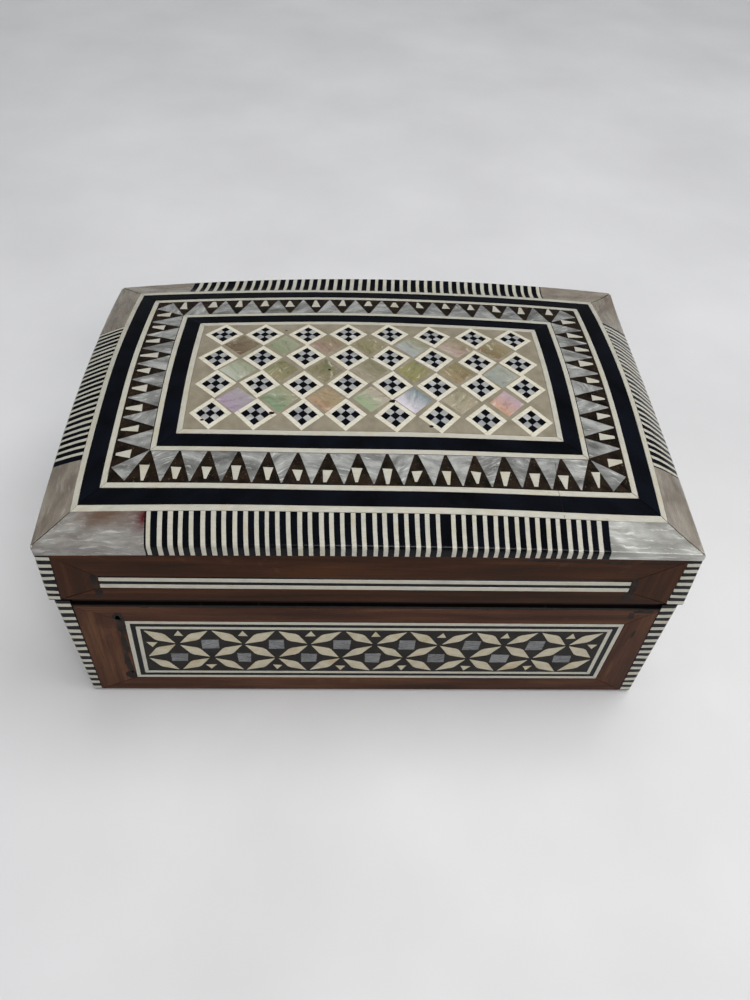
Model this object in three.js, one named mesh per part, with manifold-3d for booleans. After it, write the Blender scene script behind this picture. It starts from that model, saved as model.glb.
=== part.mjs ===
// Inlaid wooden box with a shallow domed lid, hinged along its back edge.
// Millimetres. +X runs along the box, -Y is its front and +Z is up. The origin is the middle
// of the underside. The lid is modelled closed.

import * as THREE from 'three';
import { mergeVertices } from 'three/addons/utils/BufferGeometryUtils.js';
import Module from 'manifold-3d';

const wasm = await Module();
wasm.setup();

// Driving dimensions

const glue = 0.1; // glue line between a skin and what it covers
const skin = 1.2; // thickness of veneer, mosaic, striped strips and border
const cornerStrip = 4; // how far a striped strip reaches round each side of a corner

const base = {
  length: 151.2,
  width: 102.6,
  wallFoot: 0.9,
  wallHead: 42.7,
  skinFoot: 0.9,
  skinHead: 41.7,
  wallThickness: 5.9,
  boardThickness: 4,
  feltThickness: 0.8,
  feltInset: 1.5,
};

const lid = {
  length: 152.8,
  width: 103.4,
  wallFoot: 43.0,
  wallHead: 56.4,
  skinFoot: 44.7,
  skinHead: 60.1,
  borderFoot: 60.2,
  boardFoot: 56.5,
};

const mosaic = { foot: 7.4, head: 34.8, frontLength: 126.4, frontShift: 1.2, sideLength: 77 };
const stringing = { foot: 48.2, head: 53.8, depth: 0.7, frontLength: 124, sideLength: 78 };
const lining = { thickness: 1.4, baseHead: 41.8, lidFoot: 44.0 };

// The lid's outside: a low crown, falling along a bevelled border to a rounded rim. The border falls
// less at the back, most of all at its right end, and more on the right side than on the left. The
// whole lid is slightly twisted.
const dome = {
  cornerHeight: 64.0,
  riseAlong: 2.83,
  riseAcross: 6.67,
  twist: 0.4,
  crownHalfX: 75,
  crownHalfY: 50.7,
  bevelX: 10.4,
  bevelY: 7.9,
  bevelPower: 1.35,
  bevelDrop: 0.9,
  dropAlong: 1.3,
  dropAcross: 4.1,
  dropTilt: 1.3,
  backRelief: 1.05,
  backReliefAlong: 2.65,
  backReliefTilt: 0.85,
  rimRound: 0.8,
  rimShare: 0.17,
};

// Half sizes in plan of the lines between the lid's inlay bands.
const bands = {
  border: [67.4, 43.9],
  outerFrame: [60.5, 36.0],
  toothFrame: [52.0, 27.5],
  innerFrame: [45.0, 20.9],
};
const bandGap = 0.06; // half of the gap left between two bands

const hinge = {
  axisY: 49.4,
  axisZ: 42.85,
  centreX: 45,
  length: 18,
  barrelRadius: 1.1,
  pinRadius: 0.5,
  pinRoom: 0.08,
  leafThickness: 0.6,
  leafOuterY: 44.8,
  leafGap: 0.1,
  barrelRoom: 0.35,
  knuckleGap: 0.3,
  grooveAngle: 51,
};
const nail = { radius: 0.45, headRadius: 0.85, headHeight: 0.28, length: 4.2, room: 0.1, spread: 6, y: 46.5 };

// Half sizes worked out from them

const baseHalf = [base.length / 2, base.width / 2];
const lidHalf = [lid.length / 2, lid.width / 2];
const baseCore = baseHalf.map((half) => half - skin - glue);
const lidCore = lidHalf.map((half) => half - skin - glue);
const hollow = baseCore.map((half) => half - base.wallThickness);
const boardFoot = base.wallFoot;
const boardHead = boardFoot + base.boardThickness;

// Materials

function material(color, roughness, metalness = 0) {
  return new THREE.MeshStandardMaterial({ color, roughness, metalness });
}

const boxwood = material('#8a6442', 0.75);
const mahogany = material('#5b3226', 0.45);
const felt = material('#2c3a2f', 0.95);
const velvet = material('#7b1420', 0.9);
const mosaicInlay = material('#3a3128', 0.4);
const stripedInlay = material('#8f8c80', 0.4);
const shell = material('#a9a8a2', 0.3);
const boneAndEbony = material('#23242a', 0.3);
const toothInlay = material('#4a463e', 0.35);
const panelInlay = material('#9a9080', 0.35);
const brass = material('#b08a3e', 0.4, 1);

// Solids: making, joining and cutting

function asManifold(geometry) {
  const bare = geometry.clone();
  bare.deleteAttribute('normal');
  bare.deleteAttribute('uv');
  const merged = mergeVertices(bare, 1e-5);
  return new wasm.Manifold(
    new wasm.Mesh({
      numProp: 3,
      vertProperties: new Float32Array(merged.attributes.position.array),
      triVerts: new Uint32Array(merged.index.array),
    }),
  );
}

function asGeometry(solid) {
  const mesh = solid.getMesh();
  const geometry = new THREE.BufferGeometry();
  geometry.setAttribute('position', new THREE.BufferAttribute(mesh.vertProperties, 3));
  geometry.setIndex(new THREE.BufferAttribute(mesh.triVerts, 1));
  geometry.computeVertexNormals();
  return geometry;
}

function cut(geometry, ...tools) {
  const solid = tools.reduce((left, tool) => left.subtract(asManifold(tool)), asManifold(geometry));
  return asGeometry(solid);
}

function join(geometry, ...others) {
  const solid = others.reduce((whole, other) => whole.add(asManifold(other)), asManifold(geometry));
  return asGeometry(solid);
}

function common(geometry, other) {
  return asGeometry(asManifold(geometry).intersect(asManifold(other)));
}

function block([x0, x1], [y0, y1], [z0, z1]) {
  const geometry = new THREE.BoxGeometry(x1 - x0, y1 - y0, z1 - z0);
  return geometry.translate((x0 + x1) / 2, (y0 + y1) / 2, (z0 + z1) / 2);
}

function outline(points) {
  return new THREE.Shape(points.map(([x, y]) => new THREE.Vector2(x, y)));
}

function rectangle(halfX, halfY) {
  return outline([[-halfX, -halfY], [halfX, -halfY], [halfX, halfY], [-halfX, halfY]]);
}

function upright(shape, z0, z1) {
  return new THREE.ExtrudeGeometry(shape, { depth: z1 - z0, bevelEnabled: false }).translate(0, 0, z0);
}

function ringShape([outerX, outerY], [innerX, innerY]) {
  const shape = rectangle(outerX, outerY);
  shape.holes.push(rectangle(innerX, innerY));
  return shape;
}

// A cylinder lying along X on the hinge axis, or standing along Z.
function rodAlongX(radius, x0, x1, sides = 20) {
  const rod = new THREE.CylinderGeometry(radius, radius, x1 - x0, sides).rotateZ(Math.PI / 2);
  return rod.translate((x0 + x1) / 2, hinge.axisY, hinge.axisZ);
}

function rodAlongZ(radius, x, y, z0, z1, sides = 16) {
  const rod = new THREE.CylinderGeometry(radius, radius, z1 - z0, sides).rotateX(Math.PI / 2);
  return rod.translate(x, y, (z0 + z1) / 2);
}

// Each face of the box is worked out flat, with X along it, Y up and Z outwards, and then stood
// up. The turn is about +Z from the front face.
const faces = [
  { side: 'front', turn: 0, along: 0, out: 1 },
  { side: 'right', turn: Math.PI / 2, along: 1, out: 0 },
  { side: 'back', turn: Math.PI, along: 0, out: 1 },
  { side: 'left', turn: -Math.PI / 2, along: 1, out: 0 },
];

function standOnFace(geometry, face, outward) {
  return geometry.translate(0, 0, outward).rotateX(Math.PI / 2).rotateZ(face.turn);
}

const isLong = (face) => face.along === 0;

// The object

const box = new THREE.Group();
const baseGroup = new THREE.Group();
const lidGroup = new THREE.Group();
box.add(baseGroup, lidGroup);

function addPiece(group, name, geometry, finish) {
  const mesh = new THREE.Mesh(geometry, finish);
  mesh.name = name;
  group.add(mesh);
}

// The back edges of base and lid are bevelled away from the hinge axis. The two bevels meet when
// the lid is fully open and stop it there.
function backGroove() {
  const reach = 6;
  const half = lidHalf[0] + 1;
  const rise = reach * Math.tan(THREE.MathUtils.degToRad(hinge.grooveAngle));
  const side = outline([[0, 0], [reach, -rise], [reach, rise]]);
  const prism = new THREE.ExtrudeGeometry(side, { depth: 2 * half, bevelEnabled: false });
  prism.translate(0, 0, -half);
  prism.applyMatrix4(new THREE.Matrix4().set(0, 0, 1, 0, 1, 0, 0, 0, 0, 1, 0, 0, 0, 0, 0, 1));
  return prism.translate(0, hinge.axisY, hinge.axisZ);
}

const hingeCentres = [-hinge.centreX, hinge.centreX];
const leafSpan = (x) => [x - hinge.length / 2, x + hinge.length / 2];
const nailPlaces = (x) => [x - nail.spread, x + nail.spread];

// Room for one leaf, its barrel and its nails, as solids to cut from a back wall.
function hingeRoom(x, isLower) {
  const [x0, x1] = leafSpan(x);
  const margin = 0.3;
  const seat = hinge.leafGap + hinge.leafThickness + glue;
  const leafZ = isLower
    ? [hinge.axisZ - seat, hinge.axisZ + 1]
    : [hinge.axisZ - 1, hinge.axisZ + seat];
  const nailZ = isLower ? [hinge.axisZ - seat - nail.length, hinge.axisZ] : [hinge.axisZ, hinge.axisZ + seat + nail.length];
  return [
    block([x0 - margin, x1 + margin], [hinge.leafOuterY - margin, hinge.axisY], leafZ),
    rodAlongX(hinge.barrelRadius + hinge.barrelRoom, x0 - margin, x1 + margin),
    ...nailPlaces(x).map((nx) => rodAlongZ(nail.radius + nail.room, nx, nail.y, ...nailZ)),
  ];
}

function addWalls(group, prefix, core, foot, head, isLower) {
  for (const face of faces) {
    const [halfX, halfY] = core;
    const finish = boxwood;
    if (isLong(face)) {
      const sign = face.side === 'front' ? -1 : 1;
      const ys = [sign * hollow[1], sign * halfY].sort((a, b) => a - b);
      let wall = block([-halfX, halfX], ys, [foot, head]);
      if (face.side === 'back') {
        wall = cut(wall, backGroove(), ...hingeCentres.flatMap((x) => hingeRoom(x, isLower)));
      }
      addPiece(group, `${prefix}_${face.side}_wall`, wall, finish);
    } else {
      const sign = face.side === 'left' ? -1 : 1;
      const xs = [sign * hollow[0], sign * halfX].sort((a, b) => a - b);
      const halfSpan = hollow[1] - glue;
      addPiece(group, `${prefix}_${face.side}_wall`, block(xs, [-halfSpan, halfSpan], [foot, head]), finish);
    }
  }
}

// A flat skin on one face, between the striped corner strips, with whatever is cut out of it.
function faceSkin(face, half, foot, head) {
  const halfSpan = half[face.along] - cornerStrip - glue;
  return outline([[-halfSpan, foot], [halfSpan, foot], [halfSpan, head], [-halfSpan, head]]);
}

function windowIn(shape, x0, x1, z0, z1) {
  shape.holes.push(outline([[x0, z0], [x1, z0], [x1, z1], [x0, z1]]));
}

function slab(shape, thickness) {
  return new THREE.ExtrudeGeometry(shape, { depth: thickness, bevelEnabled: false });
}

function addBaseFaces() {
  for (const face of faces) {
    const outward = baseHalf[face.out] - skin;
    const length = isLong(face) ? mosaic.frontLength : mosaic.sideLength;
    const shift = face.side === 'front' ? mosaic.frontShift : 0;
    const [x0, x1] = [shift - length / 2, shift + length / 2];
    const veneer = faceSkin(face, baseHalf, base.skinFoot, base.skinHead);
    windowIn(veneer, x0, x1, mosaic.foot, mosaic.head);
    let veneerSolid = standOnFace(slab(veneer, skin), face, outward);
    if (face.side === 'back') veneerSolid = cut(veneerSolid, backGroove());
    addPiece(baseGroup, `base_${face.side}_veneer`, veneerSolid, mahogany);
    const panel = outline([
      [x0 + glue, mosaic.foot + glue],
      [x1 - glue, mosaic.foot + glue],
      [x1 - glue, mosaic.head - glue],
      [x0 + glue, mosaic.head - glue],
    ]);
    addPiece(baseGroup, `base_${face.side}_mosaic`, standOnFace(slab(panel, skin), face, outward), mosaicInlay);
  }
}

function addLidFaces() {
  for (const face of faces) {
    const outward = lidHalf[face.out] - skin;
    const length = isLong(face) ? stringing.frontLength : stringing.sideLength;
    const blank = standOnFace(slab(faceSkin(face, lidHalf, lid.skinFoot, lid.skinHead), skin), face, outward);
    const grooveFloor = lidHalf[face.out] - stringing.depth - glue;
    const [foot, head] = [stringing.foot, stringing.head];
    const channel = outline([[-length / 2, foot], [length / 2, foot], [length / 2, head], [-length / 2, head]]);
    const tools = [standOnFace(slab(channel, 2 * skin), face, grooveFloor)];
    if (face.side === 'back') tools.push(backGroove());
    addPiece(lidGroup, `lid_${face.side}_veneer`, cut(blank, ...tools), mahogany);
    const strip = outline([
      [-length / 2 + glue, foot + glue],
      [length / 2 - glue, foot + glue],
      [length / 2 - glue, head - glue],
      [-length / 2 + glue, head - glue],
    ]);
    const stripSolid = standOnFace(slab(strip, stringing.depth), face, grooveFloor + glue);
    addPiece(lidGroup, `lid_${face.side}_stringing`, stripSolid, boneAndEbony);
  }
}

// Striped strips, L-shaped in plan, one at each vertical corner.
function addCorners(group, prefix, half, foot, head) {
  for (const [end, sy] of [['front', -1], ['back', 1]]) {
    for (const [side, sx] of [['left', -1], ['right', 1]]) {
      const [outX, outY] = half;
      const corner = outline([
        [outX - cornerStrip, outY],
        [outX - cornerStrip, outY - skin],
        [outX - skin, outY - skin],
        [outX - skin, outY - cornerStrip],
        [outX, outY - cornerStrip],
        [outX, outY],
      ].map(([x, y]) => [sx * x, sy * y]));
      let solid = upright(corner, foot, head);
      if (end === 'back') solid = cut(solid, backGroove());
      addPiece(group, `${prefix}_corner_${end}_${side}`, solid, stripedInlay);
    }
  }
}

// Height of the lid's outside over a point in plan. The crown is a parabola each way. Towards the
// edge it loses a drop that grows with the inset's complement to a power, and the last stretch
// turns down in a quarter circle.
function domeHeight(x, y) {
  const along = 1 - (x / dome.crownHalfX) ** 2;
  const across = 1 - (y / dome.crownHalfY) ** 2;
  const insetX = (lidHalf[0] - Math.abs(x)) / dome.bevelX;
  const insetY = (lidHalf[1] - Math.abs(y)) / dome.bevelY;
  const inset = Math.max(0, Math.min(insetX, insetY, 1));
  const twist = (dome.twist * x * y) / (lidHalf[0] * lidHalf[1]);
  const crown = dome.cornerHeight + dome.riseAlong * along + dome.riseAcross * across + twist;
  const backShare = Math.max(0, y / lidHalf[1]) ** 4;
  const end = x / lidHalf[0];
  const relief = backShare * (dome.backRelief + dome.backReliefAlong * along + dome.backReliefTilt * end);
  const fall = dome.bevelDrop + dome.dropAlong * along + (dome.dropAcross + dome.dropTilt * end) * across;
  const drop = fall - relief;
  const nearRim = 1 - Math.min(inset / dome.rimShare, 1);
  return crown - drop * (1 - inset) ** dome.bevelPower - dome.rimRound * (1 - Math.sqrt(1 - nearRim ** 2));
}

// Grid lines across the dome: close together over the bevelled border, wide over the crown.
function gridLines(half, outerHalf, bevel, divisions) {
  const shares = [0, 0.03, 0.08, 0.17, 0.35, 0.55, 0.78, 1];
  const outer = shares.map((share) => outerHalf - share * bevel).filter((line) => line < half - 0.05);
  const crownHalf = outerHalf - bevel;
  const inner = Array.from({ length: divisions - 1 }, (_, i) => crownHalf * (1 - (2 * (i + 1)) / divisions));
  return [half, ...outer, ...inner, ...outer.map((line) => -line).reverse(), -half].reverse();
}

// The solid under the dome, lowered by some depth, within a rectangle in plan.
function domeSolid([halfX, halfY], lowered, floorZ) {
  const xs = gridLines(halfX, lidHalf[0], dome.bevelX, 12);
  const ys = gridLines(halfY, lidHalf[1], dome.bevelY, 10);
  const top = ys.flatMap((y) => xs.map((x) => [x, y, domeHeight(x, y) - lowered]));
  const points = [...top, ...top.map(([x, y]) => [x, y, floorZ])];
  const at = (i, j) => j * xs.length + i;
  const under = (index) => index + top.length;
  const triangles = [];
  const quad = (a, b, c, d) => triangles.push(a, b, c, a, c, d);
  for (let j = 0; j < ys.length - 1; j += 1) {
    for (let i = 0; i < xs.length - 1; i += 1) {
      const [a, b, c, d] = [at(i, j), at(i + 1, j), at(i + 1, j + 1), at(i, j + 1)];
      const falling = (xs[i] + xs[i + 1]) * (ys[j] + ys[j + 1]) < 0;
      if (falling) quad(b, c, d, a);
      else quad(a, b, c, d);
      quad(under(a), under(d), under(c), under(b));
    }
  }
  const [lastX, lastY] = [xs.length - 1, ys.length - 1];
  for (let i = 0; i < lastX; i += 1) {
    quad(at(i, 0), under(at(i, 0)), under(at(i + 1, 0)), at(i + 1, 0));
    quad(at(i + 1, lastY), under(at(i + 1, lastY)), under(at(i, lastY)), at(i, lastY));
  }
  for (let j = 0; j < lastY; j += 1) {
    quad(at(0, j + 1), under(at(0, j + 1)), under(at(0, j)), at(0, j));
    quad(at(lastX, j), under(at(lastX, j)), under(at(lastX, j + 1)), at(lastX, j + 1));
  }
  const geometry = new THREE.BufferGeometry();
  geometry.setAttribute('position', new THREE.Float32BufferAttribute(points.flat(), 3));
  geometry.setIndex(triangles);
  return geometry;
}

// Border piece in plan: from its band line to just past the rim, mitred at both ends.
function mitredOutline(face) {
  const inner = bands.border.map((half) => half + bandGap);
  const outer = bands.border.map((half, axis) => half + 1.1 * (lidHalf[axis] - half));
  const shape = (axis, out, span) => (axis === 0 ? [span, out] : [out, span]);
  const sign = { front: -1, back: 1, left: -1, right: 1 }[face.side];
  const spanAxis = face.along;
  const outAxis = face.out;
  return outline([
    shape(spanAxis, sign * inner[outAxis], -(inner[spanAxis] - 2 * bandGap)),
    shape(spanAxis, sign * inner[outAxis], inner[spanAxis] - 2 * bandGap),
    shape(spanAxis, sign * outer[outAxis], outer[spanAxis] - 2 * bandGap),
    shape(spanAxis, sign * outer[outAxis], -(outer[spanAxis] - 2 * bandGap)),
  ]);
}

function addLidTop() {
  const inner = lidHalf.map((half) => half - skin);
  const crust = cut(domeSolid(lidHalf, 0, 56), domeSolid(inner, skin + 0.3, 55));
  for (const face of faces) {
    const piece = common(crust, upright(mitredOutline(face), lid.borderFoot, 80));
    addPiece(lidGroup, `lid_border_${face.side}`, piece, shell);
  }
  const rings = [
    ['lid_outer_frame', bands.border, bands.outerFrame, boneAndEbony],
    ['lid_tooth_frame', bands.outerFrame, bands.toothFrame, toothInlay],
    ['lid_inner_frame', bands.toothFrame, bands.innerFrame, boneAndEbony],
  ];
  for (const [name, outer, inside, finish] of rings) {
    const ring = ringShape(outer.map((half) => half - bandGap), inside.map((half) => half + bandGap));
    addPiece(lidGroup, name, common(crust, upright(ring, lid.borderFoot, 80)), finish);
  }
  const centre = rectangle(...bands.innerFrame.map((half) => half - bandGap));
  addPiece(lidGroup, 'lid_centre_panel', common(crust, upright(centre, lid.borderFoot, 80)), panelInlay);
  const board = common(
    domeSolid(lidCore, skin + 0.3 + glue, 56),
    upright(rectangle(...lidHalf), lid.boardFoot, 80),
  );
  addPiece(lidGroup, 'lid_top_board', board, boxwood);
}

function addLinings() {
  const outer = hollow.map((half) => half - glue);
  const inner = outer.map((half) => half - lining.thickness);
  const ring = ringShape(outer, inner);
  const floor = rectangle(...inner.map((half) => half - glue));
  const floorZ = boardHead + glue;
  const ceilingZ = lid.boardFoot - glue;
  addPiece(baseGroup, 'base_lining_walls', upright(ring, floorZ, lining.baseHead), velvet);
  addPiece(baseGroup, 'base_lining_floor', upright(floor, floorZ, floorZ + lining.thickness), velvet);
  const lidLining = join(
    upright(rectangle(...outer), ceilingZ - lining.thickness, ceilingZ),
    upright(ring, lining.lidFoot, ceilingZ - lining.thickness / 2),
  );
  addPiece(lidGroup, 'lid_lining', lidLining, velvet);
}

// One leaf of a butt hinge. The lower leaf has the two outer knuckles and the upper leaf the
// middle one.
function leaf(x, isLower) {
  const [x0, x1] = leafSpan(x);
  const third = hinge.length / 3;
  const sign = isLower ? -1 : 1;
  const faceZ = hinge.axisZ + sign * hinge.leafGap;
  const farZ = faceZ + sign * hinge.leafThickness;
  const plateZ = [Math.min(faceZ, farZ), Math.max(faceZ, farZ)];
  const plate = block([x0, x1], [hinge.leafOuterY, hinge.axisY - 0.6], plateZ);
  const own = isLower
    ? [[x0, x0 + third - hinge.knuckleGap], [x1 - third + hinge.knuckleGap, x1]]
    : [[x0 + third, x1 - third]];
  const others = isLower
    ? [[x0 + third - hinge.knuckleGap, x1 - third + hinge.knuckleGap]]
    : [[x0 - 1, x0 + third], [x1 - third, x1 + 1]];
  const clear = others.map((span) => rodAlongX(hinge.barrelRadius + hinge.barrelRoom, ...span));
  const knuckles = own.map((span) => rodAlongX(hinge.barrelRadius, ...span));
  const bore = rodAlongX(hinge.pinRadius + hinge.pinRoom, x0 - 1, x1 + 1);
  const nailHoles = nailPlaces(x).flatMap((nx) => [
    rodAlongZ(nail.radius + nail.room, nx, nail.y, plateZ[0] - 1, plateZ[1] + 1),
    rodAlongZ(nail.headRadius + nail.room, nx, nail.y, ...headPocket(faceZ, sign)),
  ]);
  return cut(join(cut(plate, ...clear), ...knuckles), bore, ...nailHoles);
}

function headPocket(faceZ, sign) {
  const depth = nail.headHeight + glue / 2;
  return sign < 0 ? [faceZ - depth, faceZ + 1] : [faceZ - 1, faceZ + depth];
}

// A nail through a leaf: its head lies flush in the leaf and its shank stands in the wall.
function nailSolid(x, isLower) {
  const { radius, headRadius, headHeight, length } = nail;
  const profile = [[0, 0], [headRadius, 0], [headRadius, -headHeight], [radius, -headHeight]];
  profile.push([radius, 0.8 - length], [0, -length]);
  const points = profile.map(([r, z]) => new THREE.Vector2(r, z)).reverse();
  const solid = new THREE.LatheGeometry(points, 12).rotateX(Math.PI / 2);
  const sign = isLower ? -1 : 1;
  if (!isLower) solid.rotateX(Math.PI);
  return solid.translate(x, nail.y, hinge.axisZ + sign * hinge.leafGap);
}

function addHinges() {
  hingeCentres.forEach((x, i) => {
    const side = i === 0 ? 'left' : 'right';
    addPiece(baseGroup, `hinge_${side}_lower_leaf`, leaf(x, true), brass);
    addPiece(lidGroup, `hinge_${side}_upper_leaf`, leaf(x, false), brass);
    addPiece(baseGroup, `hinge_${side}_pin`, rodAlongX(hinge.pinRadius, ...leafSpan(x)), brass);
    nailPlaces(x).forEach((nx, n) => {
      addPiece(baseGroup, `hinge_${side}_lower_nail_${n + 1}`, nailSolid(nx, true), brass);
      addPiece(lidGroup, `hinge_${side}_upper_nail_${n + 1}`, nailSolid(nx, false), brass);
    });
  });
}

function addBase() {
  const feltHalf = baseHalf.map((half) => half - base.feltInset);
  const boardHalf = hollow.map((half) => half - glue);
  addPiece(baseGroup, 'base_underside_felt', upright(rectangle(...feltHalf), 0, base.feltThickness), felt);
  addPiece(baseGroup, 'base_bottom_board', upright(rectangle(...boardHalf), boardFoot, boardHead), boxwood);
  addWalls(baseGroup, 'base', baseCore, base.wallFoot, base.wallHead, true);
  addBaseFaces();
  addCorners(baseGroup, 'base', baseHalf, base.skinFoot, base.skinHead);
}

function addLid() {
  addWalls(lidGroup, 'lid', lidCore, lid.wallFoot, lid.wallHead, false);
  addLidFaces();
  addCorners(lidGroup, 'lid', lidHalf, lid.skinFoot, lid.skinHead);
  addLidTop();
}

addBase();
addLid();
addLinings();
addHinges();

export default box;
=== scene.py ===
import math
from functools import partial

import bpy
import numpy as np
from mathutils import Matrix, Vector


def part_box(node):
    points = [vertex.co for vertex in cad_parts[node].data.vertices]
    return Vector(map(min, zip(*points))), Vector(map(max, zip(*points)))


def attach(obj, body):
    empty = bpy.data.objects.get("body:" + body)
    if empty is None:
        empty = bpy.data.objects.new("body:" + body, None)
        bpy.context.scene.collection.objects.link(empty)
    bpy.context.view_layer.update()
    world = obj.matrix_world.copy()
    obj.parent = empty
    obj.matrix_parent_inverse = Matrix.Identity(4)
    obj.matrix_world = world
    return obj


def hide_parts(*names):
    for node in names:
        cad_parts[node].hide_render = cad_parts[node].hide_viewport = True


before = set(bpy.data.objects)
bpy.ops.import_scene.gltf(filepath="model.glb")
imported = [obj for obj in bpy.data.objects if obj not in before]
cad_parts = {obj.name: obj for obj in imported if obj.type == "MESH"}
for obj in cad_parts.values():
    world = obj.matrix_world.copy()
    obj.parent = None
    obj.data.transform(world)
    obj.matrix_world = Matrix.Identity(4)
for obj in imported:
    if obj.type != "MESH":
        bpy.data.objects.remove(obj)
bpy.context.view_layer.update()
rng = np.random.default_rng(41)
mm = 0.001  # shapes are worked out in millimetres
print("frame loaded:", len(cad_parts), "nodes")

# Camera

camera = {
    "place": (-7.62, -159.15, 199.72),  # mm
    "lens": 28.15,
    "sensor": 36.0,
    "pitch": 47.83,  # degrees below the horizon
    "yaw": 3.687,
    "roll": 3.499,
}


def turnAbout(axis, degrees):
    return Matrix.Rotation(math.radians(degrees), 3, axis)


def makeCamera():
    # level and looking along +Y, then turned by yaw, pitched down and rolled; rows are right, down and
    # forward
    level = Matrix(((1, 0, 0), (0, 0, -1), (0, 1, 0)))
    looking = turnAbout("Z", camera["roll"]) @ turnAbout(
        "X", camera["pitch"]
    ) @ level @ turnAbout("Z", camera["yaw"])
    right, down, forward = looking
    made = bpy.data.objects.new("view_camera", bpy.data.cameras.new("view_camera"))
    bpy.context.scene.collection.objects.link(made)
    made.data.lens, made.data.sensor_width = camera["lens"], camera["sensor"]
    made.data.clip_start, made.data.clip_end = 0.01, 20
    axes = Matrix((right, -down, -forward)).transposed().to_4x4()
    made.matrix_world = Matrix.Translation([c * mm for c in camera["place"]]) @ axes
    bpy.context.scene.camera = made


makeCamera()

# Node materials


def linear(code):  # sRGB hex to linear RGBA
    parts = [int(code[i : i + 2], 16) / 255 for i in (1, 3, 5)]
    return (*[c / 12.92 if c <= 0.04045 else ((c + 0.055) / 1.055) ** 2.4 for c in parts], 1.0)


def addNode(tree, kind, inputs=None, output=None, stops=(), **settings):
    # one node of any kind: an input is a link, a hex colour or a plain value, and stops fill a ramp with hex
    # colours or grey levels. Gives back the output by its name, or the one in use
    made = tree.nodes.new("ShaderNode" + kind)
    for name, value in settings.items():
        setattr(made, name, value)
    for socket, value in (inputs or {}).items():
        if isinstance(value, bpy.types.NodeSocket):
            tree.links.new(value, made.inputs[socket])
        else:
            made.inputs[socket].default_value = linear(value) if isinstance(value, str) else value
    points = made.color_ramp.elements if stops else ()
    while len(points) < len(stops):
        points.new(0.5)
    for point, (place, colour) in zip(points, stops):
        point.position = place
        point.color = linear(colour) if isinstance(colour, str) else (colour, colour, colour, 1)
    return made.outputs[output] if output else next(
        (socket for socket in made.outputs if socket.enabled), made
    )


def startFinish(name, onPiece=True):
    # an empty tree, the call that adds to it, and the point that its patterns read in millimetres: along,
    # across and a number of the inlaid piece's own, or the object's own coordinates
    made = bpy.data.materials.new(name)
    made.use_nodes = True
    made.node_tree.nodes.clear()
    add = partial(addNode, made.node_tree)
    if onPiece:
        return made, add, add("Attribute", output="Vector", attribute_name="grain")
    metres = add("TexCoord", output="Object")
    return made, add, add("VectorMath", {0: metres, "Scale": 1000.0}, operation="SCALE")


def endFinish(made, sockets):
    shader = addNode(made.node_tree, "BsdfPrincipled", sockets)
    addNode(made.node_tree, "OutputMaterial", {"Surface": shader})
    return made


rgb = {"data_type": "RGBA"}  # a mix of colours: its sockets are 0 for the share, 6 and 7 for the two colours
times = {"operation": "MULTIPLY"}


def makeBone(name, dark, light, yellow):
    # camel bone, sawn thin, sanded flush and polished: ivory with yellower patches, fine pores along the
    # strip, soft gloss
    made, add, where = startFinish(name)
    patch = add("TexNoise", {"Vector": where, "Scale": 0.22, "Detail": 3.0})
    drawn = add("VectorMath", {0: where, 1: (0.5, 5.0, 1.0)}, **times)
    fibre = add("TexNoise", {"Vector": drawn, "Scale": 1.0, "Detail": 4.0})
    stain = add("TexNoise", {"Vector": where, "Scale": 0.55, "Detail": 5.0, "Roughness": 0.65})
    colour = add("ValToRGB", {0: patch}, stops=[(0.3, dark), (0.5, light), (0.72, yellow)])
    pores = add("ValToRGB", {0: fibre}, stops=[(0.35, 0.30), (0.6, 0.0)])
    colour = add("Mix", {0: pores, 6: colour, 7: "#9A9078"}, **rgb)
    stained = add("ValToRGB", {0: stain}, stops=[(0.66, 0.0), (0.8, 0.75)])
    colour = add("Mix", {0: stained, 6: colour, 7: "#A3875A"}, **rgb)
    rough = add("ValToRGB", {0: fibre}, stops=[(0.3, 0.42), (0.7, 0.30)])
    bump = add("Bump", {"Height": fibre, "Strength": 0.12, "Distance": 0.0001})
    return endFinish(made, {"Base Color": colour, "Roughness": rough, "Normal": bump, "IOR": 1.54})


def makeEbony(name, shine):
    # black resin let in between the bone lines, scraped level and waxed: blue-black, glossy, with fine
    # scratches and dust. Where it has lost its wax it mirrors less
    made, add, where = startFinish(name)
    cloud = add("TexNoise", {"Vector": where, "Scale": 0.12, "Detail": 3.0})
    drawn = add("VectorMath", {0: where, 1: (0.25, 7.0, 1.0)}, **times)
    scratch = add("TexNoise", {"Vector": drawn, "Scale": 1.3, "Detail": 5.0})
    dust = add("TexVoronoi", {"Vector": where, "Scale": 0.9})
    colour = add("ValToRGB", {0: cloud}, stops=[(0.35, "#07080B"), (0.65, "#0D1017")])
    dusty = add("ValToRGB", {0: dust}, stops=[(0.02, 0.5), (0.06, 0.0)])
    colour = add("Mix", {0: dusty, 6: colour, 7: "#4A4640"}, **rgb)
    rough = add("ValToRGB", {0: scratch}, stops=[(0.3, 0.13), (0.6, 0.2), (0.8, 0.34)])
    bump = add("Bump", {"Height": scratch, "Strength": 0.05, "Distance": 0.0001})
    sockets = {
        "Base Color": colour, "Roughness": rough, "Normal": bump, "IOR": 1.5, "Specular IOR Level": shine
    }
    return endFinish(made, sockets)


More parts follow.
